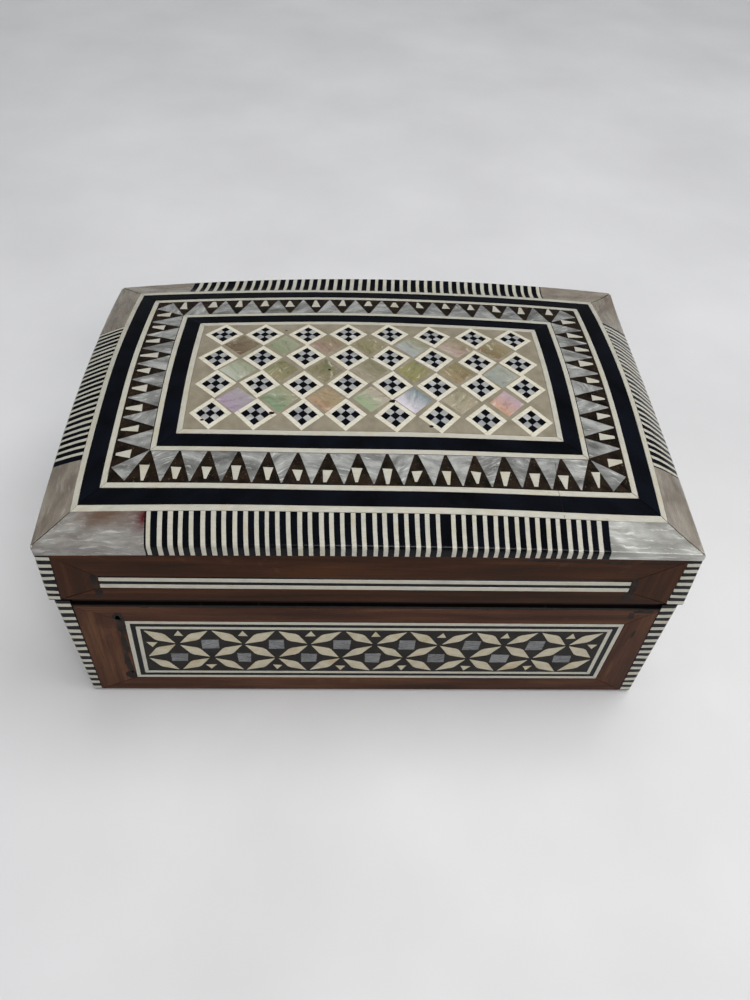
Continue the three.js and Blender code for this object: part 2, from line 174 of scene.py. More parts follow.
def makeShell(name, dark, middle, light, paintedGlint, wave=1.0, stains=()):
    # mother-of-pearl, sawn from the shell and polished: a smooth grey sheen in broad clouds, crossed by a few
    # wavy growth lines, dark along one side and painted near-white along the other as glints, with white
    # flecks painted as glints too and faint rose and green in the clouds. wave is how fine the lines are, and
    # stains are soft spots of colour where rind or dye shows, each with its place, half size, colour and
    # strength
    made, add, where = startFinish(name)
    seed = add("Attribute", output="Fac", attribute_name="seed")
    bend = add("TexNoise", {"Vector": where, "Scale": 0.16 * wave, "Detail": 2.0})
    push = add("VectorMath", {0: bend, "Scale": 2.6 / wave}, operation="SCALE")
    turned = add("VectorMath", {0: where, 1: push}, operation="ADD")
    patterns = []
    for stretch, scale, detail, rough in [
        ((0.5, 1.2, 1.0), 0.26, 2.5, 0.5),
        ((0.22, 1.6, 1.0), 0.8, 4.0, 0.55),
        ((0.7, 2.2, 1.0), 1.1, 5.0, 0.65),
    ]:
        drawn = add("VectorMath", {0: turned, 1: stretch}, **times)
        patterns.append(
            add("TexNoise", {"Vector": drawn, "Scale": scale * wave, "Detail": detail, "Roughness": rough})
        )
    cloud, line, fleck = patterns
    own = add("Math", {0: seed, 1: 0.2, 2: -0.1}, operation="MULTIPLY_ADD")
    tone = add("Math", {0: cloud, 1: own}, operation="ADD")
    colour = add("ValToRGB", {0: tone}, stops=[(0.3, dark), (0.5, middle), (0.7, light)])
    # the near-white mixes on the growth lines and on the flecks are painted glints
    for pattern, stops, shade in [
        (
            line, [(0.34, 0.1 + 0.6 * paintedGlint), (0.48, 0.0)], dark
        ), (line, [(0.56, 0.0), (0.72, paintedGlint)], "#E9EAE6"),
        (fleck, [(0.62, 0.0), (0.72, paintedGlint)], "#F4F4F0"),
    ]:
        share = add("ValToRGB", {0: pattern}, stops=stops)
        colour = add("Mix", {0: share, 6: colour, 7: shade}, **rgb)
    hues = [(0.36, "#A7B8AB"), (0.47, "#B9B7B4"), (0.56, "#C9B6B4"), (0.68, "#B5BCC6")]
    hue = add("ValToRGB", {0: fleck}, stops=hues)
    colour = add("Mix", {0: 0.3, 6: colour, 7: hue}, blend_type="SOFT_LIGHT", **rgb)
    for spot, reach, shade, strength in stains:
        off = add("VectorMath", {0: turned, 1: (*spot, 0)}, operation="SUBTRACT")
        scaled = add("VectorMath", {0: off, 1: (1 / reach[0], 1 / reach[1], 0)}, **times)
        away = add("VectorMath", {0: scaled}, operation="LENGTH")
        share = add("ValToRGB", {0: away}, stops=[(0.2, strength), (1.0, 0.0)])
        colour = add("Mix", {0: share, 6: colour, 7: shade}, **rgb)
    bump = add("Bump", {"Height": line, "Strength": 0.25, "Distance": 0.0003})
    rough = add("ValToRGB", {0: line}, stops=[(0.3, 0.34), (0.7, 0.22)])
    sockets = {"Base Color": colour, "Roughness": rough, "Normal": bump, "IOR": 1.56}
    return endFinish(made, sockets | {"Coat Weight": 0.25, "Coat Roughness": 0.1})


def makePearl():
    # abalone and dyed shell in the middle panel, each diamond its own colour: smooth and half clear, with
    # soft swirls of green, rose and gold, and a few painted glints: near-white mixed into the colour along
    # the ripples
    made, add, where = startFinish("polishedAbalone")
    tint = add("Attribute", output="Color", attribute_name="tint")
    bend = add("TexNoise", {"Vector": where, "Scale": 0.16, "Detail": 2.0})
    push = add("VectorMath", {0: bend, "Scale": 9.0}, operation="SCALE")
    turned = add("VectorMath", {0: where, 1: push}, operation="ADD")
    drawn = add("VectorMath", {0: turned, 1: (0.45, 1.1, 1.0)}, **times)
    swirl = add("TexNoise", {"Vector": drawn, "Scale": 0.16, "Detail": 2.0, "Roughness": 0.5})
    drawn = add("VectorMath", {0: turned, 1: (0.35, 1.5, 1.0)}, **times)
    ripple = add("TexNoise", {"Vector": drawn, "Scale": 0.7, "Detail": 4.0, "Roughness": 0.55})
    hues = [(0.32, "#66755C"), (0.42, "#8B8A6C"), (0.5, "#8A7C64"), (0.6, "#9B8473"), (0.72, "#A3A19E")]
    colour = add("Mix", {0: 0.25, 6: tint, 7: add("ValToRGB", {0: swirl}, stops=hues)}, **rgb)
    share = add("ValToRGB", {0: ripple}, stops=[(0.34, 0.3), (0.48, 0.0)])
    colour = add("Mix", {0: share, 6: colour, 7: "#5F5947"}, blend_type="MULTIPLY", **rgb)
    # near-white on the ripples: painted glints
    share = add("ValToRGB", {0: ripple}, stops=[(0.58, 0.0), (0.72, 0.5)])
    colour = add("Mix", {0: share, 6: colour, 7: "#DAD6C8"}, **rgb)
    bump = add("Bump", {"Height": ripple, "Strength": 0.2, "Distance": 0.0002})
    rough = add("ValToRGB", {0: ripple}, stops=[(0.3, 0.34), (0.7, 0.2)])
    sockets = {"Base Color": colour, "Roughness": rough, "Normal": bump, "IOR": 1.56}
    return endFinish(made, sockets | {"Coat Weight": 0.2, "Coat Roughness": 0.1})


def makePaste(name, dark, light, speck, speckShare, gloss):
    # filler of resin and powder pressed round the tiles and sanded: matt-glossy, mottled, with grit of shell
    # and dust
    made, add, where = startFinish(name)
    mottle = add("TexNoise", {"Vector": where, "Scale": 0.3, "Detail": 5.0, "Roughness": 0.6})
    grit = add("TexNoise", {"Vector": where, "Scale": 2.6, "Detail": 3.0, "Roughness": 0.7})
    colour = add("ValToRGB", {0: mottle}, stops=[(0.35, dark), (0.65, light)])
    share = add("ValToRGB", {0: grit}, stops=[(speckShare, 0.0), (speckShare + 0.08, 0.8)])
    colour = add("Mix", {0: share, 6: colour, 7: speck}, **rgb)
    bump = add("Bump", {"Height": grit, "Strength": 0.2, "Distance": 0.0002})
    rough = add("ValToRGB", {0: mottle}, stops=[(0.3, gloss + 0.1), (0.7, gloss)])
    sockets = {
        "Base Color": colour, "Roughness": rough, "Normal": bump, "IOR": 1.5, "Specular IOR Level": 0.15
    }
    return endFinish(made, sockets)


def makeVeneer(name, dark, middle, light, gloss):
    # reddish-brown rosewood veneer, planed and shellacked: streaks and short pores along the strip, satin
    # shine
    made, add, where = startFinish(name)
    drawn = add("VectorMath", {0: where, 1: (0.025, 0.3, 1.0)}, **times)
    wave = add("TexNoise", {"Vector": drawn, "Scale": 1.0, "Detail": 3.0, "Distortion": 0.4})
    drawn = add("VectorMath", {0: where, 1: (0.05, 2.2, 1.0)}, **times)
    streak = add("TexNoise", {"Vector": drawn, "Scale": 1.0, "Detail": 6.0, "Roughness": 0.6})
    drawn = add("VectorMath", {0: where, 1: (0.35, 5.5, 1.0)}, **times)
    pore = add("TexNoise", {"Vector": drawn, "Scale": 1.2, "Detail": 3.0})
    wear = add("TexNoise", {"Vector": where, "Scale": 0.09, "Detail": 5.0, "Roughness": 0.65})
    colour = add("ValToRGB", {0: wave}, stops=[(0.3, dark), (0.52, middle), (0.72, light)])
    for pattern, stops, shade in [
        (streak, [(0.36, 0.35), (0.56, 0.0)], dark), (pore, [(0.3, 0.7), (0.4, 0.0)], "#1A0E0A"),
        (wear, [(0.6, 0.0), (0.78, 0.25)], "#8A6448"),
    ]:
        share = add("ValToRGB", {0: pattern}, stops=stops)
        colour = add("Mix", {0: share, 6: colour, 7: shade}, **rgb)
    height = add("Mix", {0: 0.5, 6: streak, 7: pore}, **rgb)
    bump = add("Bump", {"Height": height, "Strength": 0.2, "Distance": 0.0002})
    rough = add("ValToRGB", {0: streak}, stops=[(0.3, gloss + 0.12), (0.7, gloss)])
    sockets = {
        "Base Color": colour, "Roughness": rough, "Normal": bump, "IOR": 1.5, "Specular IOR Level": 0.08
    }
    return endFinish(made, sockets)


def makeCore(name, dark, light):
    # plain sawn softwood under the skins: straight grain, dry and matt. It is drawn near black-brown as
    # painted shade, so that the seam between lid and base, where the core shows, reads dark
    made, add, where = startFinish(name, onPiece=False)
    drawn = add("VectorMath", {0: where, 1: (0.04, 0.9, 0.9)}, **times)
    ring = add("TexNoise", {"Vector": drawn, "Scale": 1.0, "Detail": 5.0, "Distortion": 0.3})
    drawn = add("VectorMath", {0: where, 1: (0.25, 4.0, 4.0)}, **times)
    fibre = add("TexNoise", {"Vector": drawn, "Scale": 1.0, "Detail": 3.0})
    share = add("ValToRGB", {0: fibre}, stops=[(0.35, 0.5), (0.6, 0.0)])
    rings = add("ValToRGB", {0: ring}, stops=[(0.35, dark), (0.65, light)])
    colour = add("Mix", {0: share, 6: rings, 7: dark}, **rgb)
    bump = add("Bump", {"Height": fibre, "Strength": 0.3, "Distance": 0.0002})
    return endFinish(made, {"Base Color": colour, "Roughness": 0.72, "Normal": bump, "IOR": 1.5})


def makeNap(name, tuftShade, pileSheen, pile, sheen):
    # short-piled cloth: painted shade between the tufts and a painted sheen where the pile leans over; tufts
    # are drawn 0.35 mm, coarser than real pile
    made, add, where = startFinish(name)
    tuft = add("TexNoise", {"Vector": where, "Scale": pile, "Detail": 3.0, "Roughness": 0.7})
    drawn = add("VectorMath", {0: where, 1: (0.05, 0.09, 1.0)}, **times)
    brushed = add("TexNoise", {"Vector": drawn, "Scale": 1.0, "Detail": 3.0, "Distortion": 0.6})
    share = add("ValToRGB", {0: brushed}, stops=[(0.4, 0.0), (0.62, 0.6)])
    tufts = add("ValToRGB", {0: tuft}, stops=[(0.3, tuftShade), (0.7, pileSheen)])
    colour = add("Mix", {0: share, 6: tufts, 7: pileSheen}, **rgb)
    bump = add("Bump", {"Height": tuft, "Strength": 0.8, "Distance": 0.0003})
    sockets = {"Base Color": colour, "Roughness": 0.92, "Normal": bump, "Specular IOR Level": 0.2}
    return endFinish(made, sockets | {"Sheen Weight": sheen, "Sheen Roughness": 0.4})


def makeBrass():
    # pressed sheet brass, lacquer gone: warm, dulled brown in patches, brushed lines along the leaf
    made, add, where = startFinish("agedSheetBrass", onPiece=False)
    age = add("TexNoise", {"Vector": where, "Scale": 0.5, "Detail": 5.0, "Roughness": 0.6})
    drawn = add("VectorMath", {0: where, 1: (0.6, 12.0, 12.0)}, **times)
    brush = add("TexNoise", {"Vector": drawn, "Scale": 1.0, "Detail": 3.0})
    colour = add("ValToRGB", {0: age}, stops=[(0.35, "#6E5227"), (0.5, "#A5803D"), (0.7, "#C9A55C")])
    rough = add("ValToRGB", {0: age}, stops=[(0.35, 0.52), (0.7, 0.28)])
    bump = add("Bump", {"Height": brush, "Strength": 0.15, "Distance": 0.0001})
    return endFinish(made, {"Base Color": colour, "Roughness": rough, "Normal": bump, "Metallic": 1.0})


# brown rind, red dye
edgeStains = [((13.0, 11.0), (12.0, 4.0), "#5A4130", 0.85), ((23.4, 9.9), (4.2, 3.8), "#4A0D10", 1.0)]

finishes = {
    "bone": makeBone("polishedBone", "#AFADA2", "#BCBAAF", "#B5AF9B"),
    "petalBone": makeBone("yellowedBone", "#ACA38A", "#C2BAA3", "#AE9C76"),
    "diamondBone": makeBone("bleachedBone", "#CAC6B6", "#D6D2C3", "#CDC5AE"),
    "ebony": makeEbony("waxedBlackResin", 0.22),
    "dullEbony": makeEbony("wornBlackResin", 0.1),
    "shell": makeShell("polishedMotherOfPearl", "#5B5C5A", "#7E807E", "#A5A7A4", 0.5, 1.3),
    "shellWarm": makeShell("agedMotherOfPearl", "#68645F", "#7C7975", "#908F8A", 0.4, 1.2, edgeStains),
    # a paler, more flashing copy of the shell for the front border's right end: painted highlight where the
    # lamp's sheen falls on it
    "shellPaintedSheen": makeShell("motherOfPearlPaintedSheen", "#7A7A75", "#9B9C97", "#BCBDBA", 0.6, 0.8),
    "shellDull": makeShell("wornMotherOfPearl", "#6C655C", "#7F786E", "#918B80", 0.12),
    "checkShell": makeShell("greyWhiteShell", "#85878A", "#9C9E9D", "#B4B5B1", 0.3, 1.2),
    "squareShell": makeShell("greyMotherOfPearl", "#46494C", "#595C5F", "#6E7173", 0.12, 1.2),
    "pearl": makePearl(),
    "mosaicPaste": makePaste("darkGlueAndSawdust", "#0F0D0B", "#1A1612", "#4A4238", 0.7, 0.4),
    "toothPaste": makePaste("blackGlueWithShellGrit", "#0E0B09", "#2A2018", "#8A7F6C", 0.64, 0.26),
    "panelPaste": makePaste("taupeResin", "#7E7666", "#918978", "#625B4B", 0.68, 0.3),
    "filler": makePaste("darkFiller", "#120D0A", "#2A1E16", "#4C3C2D", 0.66, 0.5),
    # near-black paste with pale specks for the strip along the base's top edge: painted shade of the seam
    # under the lid
    "seamPaintedShade": makePaste("seamShadeStrip", "#070505", "#0F0B09", "#A39C8B", 0.69, 0.4),
    "lidVeneer": makeVeneer("shellackedRosewoodDark", "#281509", "#3A2010", "#4C2C17", 0.36),
    "baseVeneer": makeVeneer("shellackedRosewood", "#321C12", "#4B2D1E", "#61402B", 0.4),
    # the core's near black-brown is painted shade for the seam under the lid
    "core": makeCore("seamShadeCedar", "#150D09", "#2B1B12"),
    # each cloth's first colour is painted shade between the tufts, its second a painted sheen on the leaning
    # pile
    "velvet": makeNap("redVelvet", "#3A060C", "#8E1824", 2.9, 0.35),
    "felt": makeNap("greenFelt", "#1B241D", "#3B4A3D", 2.2, 0.2),
    "brass": makeBrass(),
}
print("finishes made:", len(finishes))

# Building inlay from charts: a chart is a function of two parameters that gives a point of a surface, in
# millimetres


seedStep = 97  # how far apart in their materials' patterns two inlaid pieces can lie, in mm


def boxCorners(x0, y0, x1, y1):  # a rectangle as the four corner points that strips takes
    return [(x0, y0), (x1, y0), (x0, y1), (x1, y1)]


def stations(count, edge=0.05):
    return np.linspace(edge, 1 - edge, count)


def place(chart, u, v, lift):
    # the chart's point, moved off the surface by lift along the normal from small steps in u and v
    step = 1e-3
    along = chart(u + step, v) - chart(u - step, v)
    across = chart(u, v + step) - chart(u, v - step)
    normal = np.cross(along, across)
    normal /= np.linalg.norm(normal, axis=-1, keepdims=True)
    return chart(u, v) + normal * np.asarray(lift)[..., None]


def blocks(count, size, faces):
    # the same faces for count blocks of size vertices, as one array
    return (np.arange(count)[:, None, None] * size + faces[None]).reshape(-1, faces.shape[1])


def strips(chart, corners, ts=(), ws=(), thick=1.0, bevel=0.07, top=0.0, crown=0.0):
    # strips between two edges: corners is (n, 4, 2) with the first edge's ends, then the second's. The grid
    # is the mix of the two edges at t along and w across; its rim is lowered by the bevel, and the underside
    # is the same grid below
    corners = np.asarray(corners, float).reshape(-1, 4, 2).copy()
    a0, a1, b0, b1 = (corners[:, i] for i in range(4))
    cross = (a1 - a0)[:, 0] * (b0 - a0)[:, 1] - (a1 - a0)[:, 1] * (b0 - a0)[:, 0]
    corners[cross < 0] = corners[cross < 0][:, [2, 3, 0, 1]]
    a0, a1, b0, b1 = (corners[:, i] for i in range(4))
    middle = lambda p, q: np.asarray(chart((p[:, 0] + q[:, 0]) / 2, (p[:, 1] + q[:, 1]) / 2))
    length = np.linalg.norm(middle(a1, b1) - middle(a0, b0), axis=-1)
    width = np.linalg.norm(middle(b0, b1) - middle(a0, a1), axis=-1)
    n = len(corners)
    edgeT = np.clip(bevel / np.maximum(length, 1e-6), 0, 0.3)[:, None]
    edgeW = np.clip(bevel / np.maximum(width, 1e-6), 0, 0.3)[:, None]
    inner = lambda spots: np.broadcast_to(np.asarray(spots, float), (n, len(spots)))
    t = np.concatenate([0 * edgeT, edgeT, inner(ts), 1 - edgeT, 0 * edgeT + 1], 1)
    w = np.concatenate([0 * edgeW, edgeW, inner(ws), 1 - edgeW, 0 * edgeW + 1], 1)
    k, m = t.shape[1], w.shape[1]
    tt, ww = t[:, :, None, None], w[:, None, :, None]
    first = a0[:, None, None] * (1 - tt) + a1[:, None, None] * tt
    spot = first * (1 - ww) + (b0[:, None, None] * (1 - tt) + b1[:, None, None] * tt) * ww
    rim = np.zeros((k, m))
    rim[[0, -1], :] = bevel
    rim[:, [0, -1]] = bevel
    bulge = crown * (1 - (2 * t[:, :, None] - 1) ** 6) * (1 - (2 * w[:, None, :] - 1) ** 6)
    u, v = spot[..., 0], spot[..., 1]
    upper = place(chart, u, v, top - rim[None] + bulge)
    lower = place(chart, u, v, np.full_like(u, -thick))
    points = np.stack([upper, lower], 1).reshape(-1, 3)
    index = np.arange(k * m).reshape(k, m)
    quad = lambda p, q, r, s: np.stack([p.ravel(), q.ravel(), r.ravel(), s.ravel()], 1)
    face = quad(index[:-1, :-1], index[1:, :-1], index[1:, 1:], index[:-1, 1:])
    below = k * m
    faces = np.concatenate(
        [
            face,
            face[:, ::-1] + below,
            quad(index[:-1, 0] + below, index[1:, 0] + below, index[1:, 0], index[:-1, 0]),
            quad(index[1:, -1] + below, index[:-1, -1] + below, index[:-1, -1], index[1:, -1]),
            quad(index[0, 1:] + below, index[0, :-1] + below, index[0, :-1], index[0, 1:]),
            quad(index[-1, :-1] + below, index[-1, 1:] + below, index[-1, 1:], index[-1, :-1]),
        ]
    )
    seeds = rng.random(n)
    alongGrain, acrossGrain = t[:, :, None] * length[:, None, None], w[:, None, :] * width[:, None, None]
    grain = np.stack(np.broadcast_arrays(alongGrain, acrossGrain, seeds[:, None, None] * seedStep), -1)
    grain = np.broadcast_to(grain[:, None], (n, 2, k, m, 3)).reshape(-1, 3)
    faces = [blocks(n, 2 * k * m, faces)]
    return {"points": points, "faces": faces, "grain": grain, "seed": np.repeat(seeds, 2 * k * m)}


def tiles(chart, outlines, thick=1.0, bevel=0.07, top=0.0, turns=0.0, tints=None):
    # flat tiles: each outline (n, corners, 2) gives a rim, the same rim drawn in by the bevel for the top
    # face, and one below. A corner is drawn in along the sum of its two edges' inward normals
    outlines = np.asarray(outlines, float)
    n, c = outlines.shape[:2]
    ahead = np.roll(outlines, -1, 1)
    area = (outlines[..., 0] * ahead[..., 1] - outlines[..., 1] * ahead[..., 0]).sum(1)
    outlines = np.where(area[:, None, None] < 0, outlines[:, ::-1], outlines)
    edge = np.roll(outlines, -1, 1) - outlines
    edge /= np.linalg.norm(edge, axis=-1, keepdims=True)
    inward = np.stack([-edge[..., 1], edge[..., 0]], -1)
    before = np.roll(inward, 1, 1)
    dot = np.maximum(1 + (inward * before).sum(-1, keepdims=True), 0.35)
    drawnIn = outlines + bevel * (inward + before) / dot
    rings = np.stack([drawnIn, outlines, outlines], 1)
    lifts = np.array([top, top - bevel, -thick])[None, :, None]
    points = place(chart, rings[..., 0], rings[..., 1], np.broadcast_to(lifts, (n, 3, c))).reshape(-1, 3)
    i = np.arange(c)
    j = np.roll(i, -1)
    sides = np.concatenate(
        [np.stack([i + c, j + c, j, i], 1), np.stack([i + 2 * c, j + 2 * c, j + c, i + c], 1)]
    )
    caps = np.stack([i, i[::-1] + 2 * c])
    seeds = rng.random(n)
    middle = outlines.mean(1, keepdims=True)
    turned = np.broadcast_to(turns, n) + 0.0
    cos, sin = np.cos(turned)[:, None, None], np.sin(turned)[:, None, None]
    off = rings - middle[:, None]
    acrossTile = off[..., 0] * cos + off[..., 1] * sin + 50
    upTile = off[..., 1] * cos - off[..., 0] * sin + 50
    grain = np.stack(
        np.broadcast_arrays(acrossTile, upTile, seeds[:, None, None] * seedStep), -1
    ).reshape(-1, 3)
    faces = [blocks(n, 3 * c, sides), blocks(n, 3 * c, caps)]
    made = {"points": points, "faces": faces, "grain": grain, "seed": np.repeat(seeds, 3 * c)}
    if tints is not None:  # a colour for each corner of each tile
        made["tint"] = np.tile(tints, (1, 3, 1)).reshape(-1, 4)
    return made


def makePiece(name, parts, finish, nodes, smooth=32):
    # joins the parts' arrays into one mesh with its grain, seed and tint attributes. It rides the body, lid
    # or base, whose name starts the names of the nodes that it replaces
    starts = np.cumsum([0] + [len(p["points"]) for p in parts])
    faces = [
        row for p, start in zip(parts, starts) for block in p["faces"] for row in (block + start).tolist()
    ]
    mesh = bpy.data.meshes.new(name)
    mesh.from_pydata((np.concatenate([p["points"] for p in parts]) * mm).tolist(), [], faces)
    grain = mesh.attributes.new("grain", "FLOAT_VECTOR", "POINT")
    grain.data.foreach_set("vector", np.concatenate([p["grain"] for p in parts]).astype(np.float32).ravel())
    seed = mesh.attributes.new("seed", "FLOAT", "POINT")
    seed.data.foreach_set("value", np.concatenate([p["seed"] for p in parts]).astype(np.float32))
    if "tint" in parts[0]:
        tint = mesh.attributes.new("tint", "FLOAT_COLOR", "POINT")
        tint.data.foreach_set("color", np.concatenate([p["tint"] for p in parts]).astype(np.float32).ravel())
    mesh.shade_smooth()
    mesh.set_sharp_from_angle(angle=math.radians(smooth))
    mesh.validate()
    mesh.materials.append(finishes[finish])
    made = bpy.data.objects.new(name, mesh)
    bpy.context.scene.collection.objects.link(made)
    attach(made, nodes[0].split("_")[0])
    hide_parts(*nodes)


# The box's own surfaces

sides = ["front", "right", "back", "left"]  # in the order met walking round the box, seen from above

shell = {
    "baseHalf": (75.55, 51.25),
    "lidFootHalf": (76.4, 51.7),
    "lidRimHalf": (75.6, 51.0),
    "lidFoot": 44.4,
    "rimHeight": 61.0,  # the lid's sides lean in up to here
    "bevelInner": (66.2, 43.2),
    "crownHalf": (75.0, 50.7),
    "cornerHeight": 63.98,
    "rise": (2.83, 6.67),
    "twist": 0.4,
    "drop": (0.9, 1.7, 4.1),
    "dropTilt": 1.3,  # how much more the right side's border falls than the middle's, and the left's less
    # how much less it falls at the back: corners, more in the middle, more at the right
    "backRelief": (1.05, 3.05, 0.85),
    "bevelPower": 1.35,
    "lipRound": 0.9,
    # height of the border's foot: at the corners, more in the middle, more to the right
    "lipFoot": (60.4, 0.75, 0.25),
    "cornerRound": 0.7,
    "rimIn": 0.9,  # where the border starts to turn down
}

handWork = {
    "shiftX": -0.55,
    "shiftY": -0.4,
    "widen": 0.004,
    "bow": 0.05,
    "waver": 0.09,
    "stray": (0.5, -0.75),  # how far the front right corner is off
}


def facing(side, along, out, z):
    # along runs to the right as seen from outside, out is the distance from the middle
    spots = {"front": (along, -out), "right": (out, along), "back": (-along, out), "left": (-out, -along)}
    x, y = spots[side]
    return np.stack(np.broadcast_arrays(x, y, z), -1).astype(float)


def domeHeight(x, y):
    # a low crown, less a drop that grows by a power of the distance down the bevelled border. The drop is
    # less towards the back and the left
    crownX, crownY = [1 - (c / half) ** 2 for c, half in zip((x, y), shell["crownHalf"])]
    rimX, rimY = shell["lidRimHalf"]
    twist = shell["twist"] * x * y / (rimX * rimY)
    end = x / rimX
    atCorner, inMiddle, atRight = shell["backRelief"]
    relief = np.clip(y / rimY, 0, 1) ** 4 * (atCorner + inMiddle * crownX + atRight * end)
    inX, inY = shell["bevelInner"]
    inset = np.clip(np.minimum((rimX - np.abs(x)) / (rimX - inX), (rimY - np.abs(y)) / (rimY - inY)), 0, 1)
    least, along, across = shell["drop"]
    drop = least + along * crownX + (across + shell["dropTilt"] * end) * crownY - relief
    crown = shell["cornerHeight"] + shell["rise"][0] * crownX + shell["rise"][1] * crownY + twist
    return crown - drop * (1 - inset) ** shell["bevelPower"]


def handMade(x, y):
    # the plan drawn by eye: the frames shifted, a little wider to the right, bowed in the middle and
    # wavering, and true at the rim
    rimX, rimY = shell["lidRimHalf"]
    keep = np.clip(1 - (x / rimX) ** 8, 0, 1) * np.clip(1 - (y / rimY) ** 8, 0, 1)
    bow = handWork["bow"] * (1 - np.abs(y / 48) ** 3) * (1 - (x / 60) ** 2)
    waverX = handWork["waver"] * np.sin(y / 7.3 + x / 31)
    waverY = handWork["waver"] * np.sin(x / 9.1 + y / 23 + 1)
    stray = np.clip(x / 67, 0, 1) ** 2 * np.clip(-y / 43, 0, 1) ** 2
    return (
        x + keep * (handWork["shiftX"] + waverX + handWork["stray"][0] * stray),
        y + keep * (
            handWork["shiftY"] + y * (handWork["widen"] * x / 60 + bow) + waverY + handWork["stray"][1]
            * stray
        ),
    )


def lidTop(x, y):
    movedX, movedY = handMade(x, y)
    return np.stack([movedX, movedY, domeHeight(movedX, movedY)], -1)


def axisOf(side):
    return 1 if side in ("front", "back") else 0


def lidOut(side, z):
    axis = axisOf(side)
    lean = np.clip((shell["rimHeight"] - z) / (shell["rimHeight"] - shell["lidFoot"]), 0, 1.1)
    return shell["lidRimHalf"][axis] + (shell["lidFootHalf"][axis] - shell["lidRimHalf"][axis]) * lean


def baseFace(side):
    out = shell["baseHalf"][axisOf(side)]
    return lambda s, z: facing(side, s, out + 0 * z, z)


def lidFace(side):
    return lambda s, z: facing(side, s, lidOut(side, z), z)


def lipFoot(side, s):  # the border's lower edge, a low curve along each side
    spot = facing(side, s, shell["lidRimHalf"][axisOf(side)] + 0 * s, 0 * s)
    x, half = spot[..., 0], shell["lidRimHalf"][1 - axisOf(side)]
    low, rise, tilt = shell["lipFoot"]
    return low + rise * (1 - (s / half) ** 2) + tilt * x / shell["lidRimHalf"][0]


bands = {  # half sizes in plan of the lines between the lid's bands, from the border in
    "lines": [
        (67.6, 43.4), (66.15, 41.75), (61.8, 37.35), (60.4, 35.9), (51.9, 26.95), (50.6, 25.65),
        (46.5, 21.85), (45.1, 20.5)
    ],
    "gap": 0.03,
}

# where the striped run starts and ends along each side, how many white strips it has, after how many of them
# two lengths of it join and how much wider the black is there, and where corners begin to mitre
borders = {
    "front": {
        "run": (-50.4, 53.1), "count": 43, "join": (28, 1.05), "square": 55,
        # the right end takes the paler shell copy, a painted highlight
        "shell": ("shellWarm", "shellPaintedSheen")
    },
    "right": {
        "run": (-27.9, 29.6), "count": 27, "join": (27, 0.0), "square": 32,
        "shell": ("shellDull", "shellDull")
    },
    "back": {
        "run": (-52.6, 52.6), "count": 42, "join": (38, 0.9), "square": 55,
        "shell": ("shellDull", "shellDull")
    },
    "left": {
        "run": (-22.0, 29.0), "count": 25, "join": (25, 0.0), "square": 32,
        "shell": ("shellDull", "shellDull")
    },
}
stripe = {"share": 0.45, "jitter": 0.12, "joint": 0.2}


def borderFace(side):
    # v runs from the lip's foot (0) up over the rim's round to the outermost frame (1). Along is true in the
    # striped middle and draws in to the mitre beyond it. The round is a quadratic curve between dome and
    # side, with the sharp edge as its control
    axis = axisOf(side)
    depth = shell["lidRimHalf"][axis] - bands["lines"][0][axis]
    full = shell["lidRimHalf"][1 - axis]
    mitre = (full - bands["lines"][0][1 - axis]) / depth
    square = borders[side]["square"]
    lipShare, roundShare = 0.2, 0.34

    def onDome(s, inward):
        spot = facing(side, s, shell["lidRimHalf"][axis] - inward, 0 * s)
        x, y = handMade(spot[..., 0], spot[..., 1])
        return np.stack([x, y, domeHeight(x, y)], -1)

    def chart(s, v):
        s, v = np.broadcast_arrays(s, v)
        rimIn = shell["rimIn"]
        turn = np.clip((v - lipShare) / (roundShare - lipShare), 0, 1)
        inward = rimIn + np.clip((v - roundShare) / (1 - roundShare), 0, 1.02) * (depth - rimIn)
        inward = np.where(v < roundShare, rimIn * turn, inward)
        beyond = np.clip(np.abs(s) - square, 0, None) / (full - square)
        mitred = square + beyond * (full - inward * mitre - square)
        drawn = np.where(beyond > 0, mitred, np.abs(s)) * np.sign(s)
        dome = onDome(drawn, inward)
        edge = onDome(drawn, 0 * inward)
        start = onDome(drawn, 0 * inward + rimIn)
        low = edge - np.array([0, 0, shell["lipRound"]])
        c = turn[..., None]
        turned = (1 - c) ** 2 * low + 2 * c * (1 - c) * edge + c**2 * start
        foot = np.stack([low[..., 0], low[..., 1], lipFoot(side, drawn)], -1)
        lip = low + (foot - low) * (1 - np.clip(v / lipShare, -0.2, 1))[..., None]
        return np.where((v >= roundShare)[..., None], dome, np.where((v >= lipShare)[..., None], turned, lip))

    return chart


def frameStrips(outer, inner, gap, pull=0.08):
    # four mitred strips between two rectangles, as corner points in plan
    ox, oy, ix, iy = outer[0] - gap, outer[1] - gap, inner[0] + gap, inner[1] + gap
    front = [(-ox + pull, -oy), (ox - pull, -oy), (-ix + pull, -iy), (ix - pull, -iy)]
    right = [(ox, -oy + pull), (ox, oy - pull), (ix, -iy + pull), (ix, iy - pull)]
    flip = lambda rows: [(-x, -y) for x, y in rows]
    return [front, flip(front)], [right, flip(right)]


def bandParts(outer, inner, acrossStations=(), **options):
    long, short = frameStrips(outer, inner, bands["gap"])
    return [
        strips(lidTop, long, ts=stations(31, 0.04), ws=acrossStations, **options),
        strips(lidTop, short, ts=stations(21), ws=acrossStations, **options),
    ]


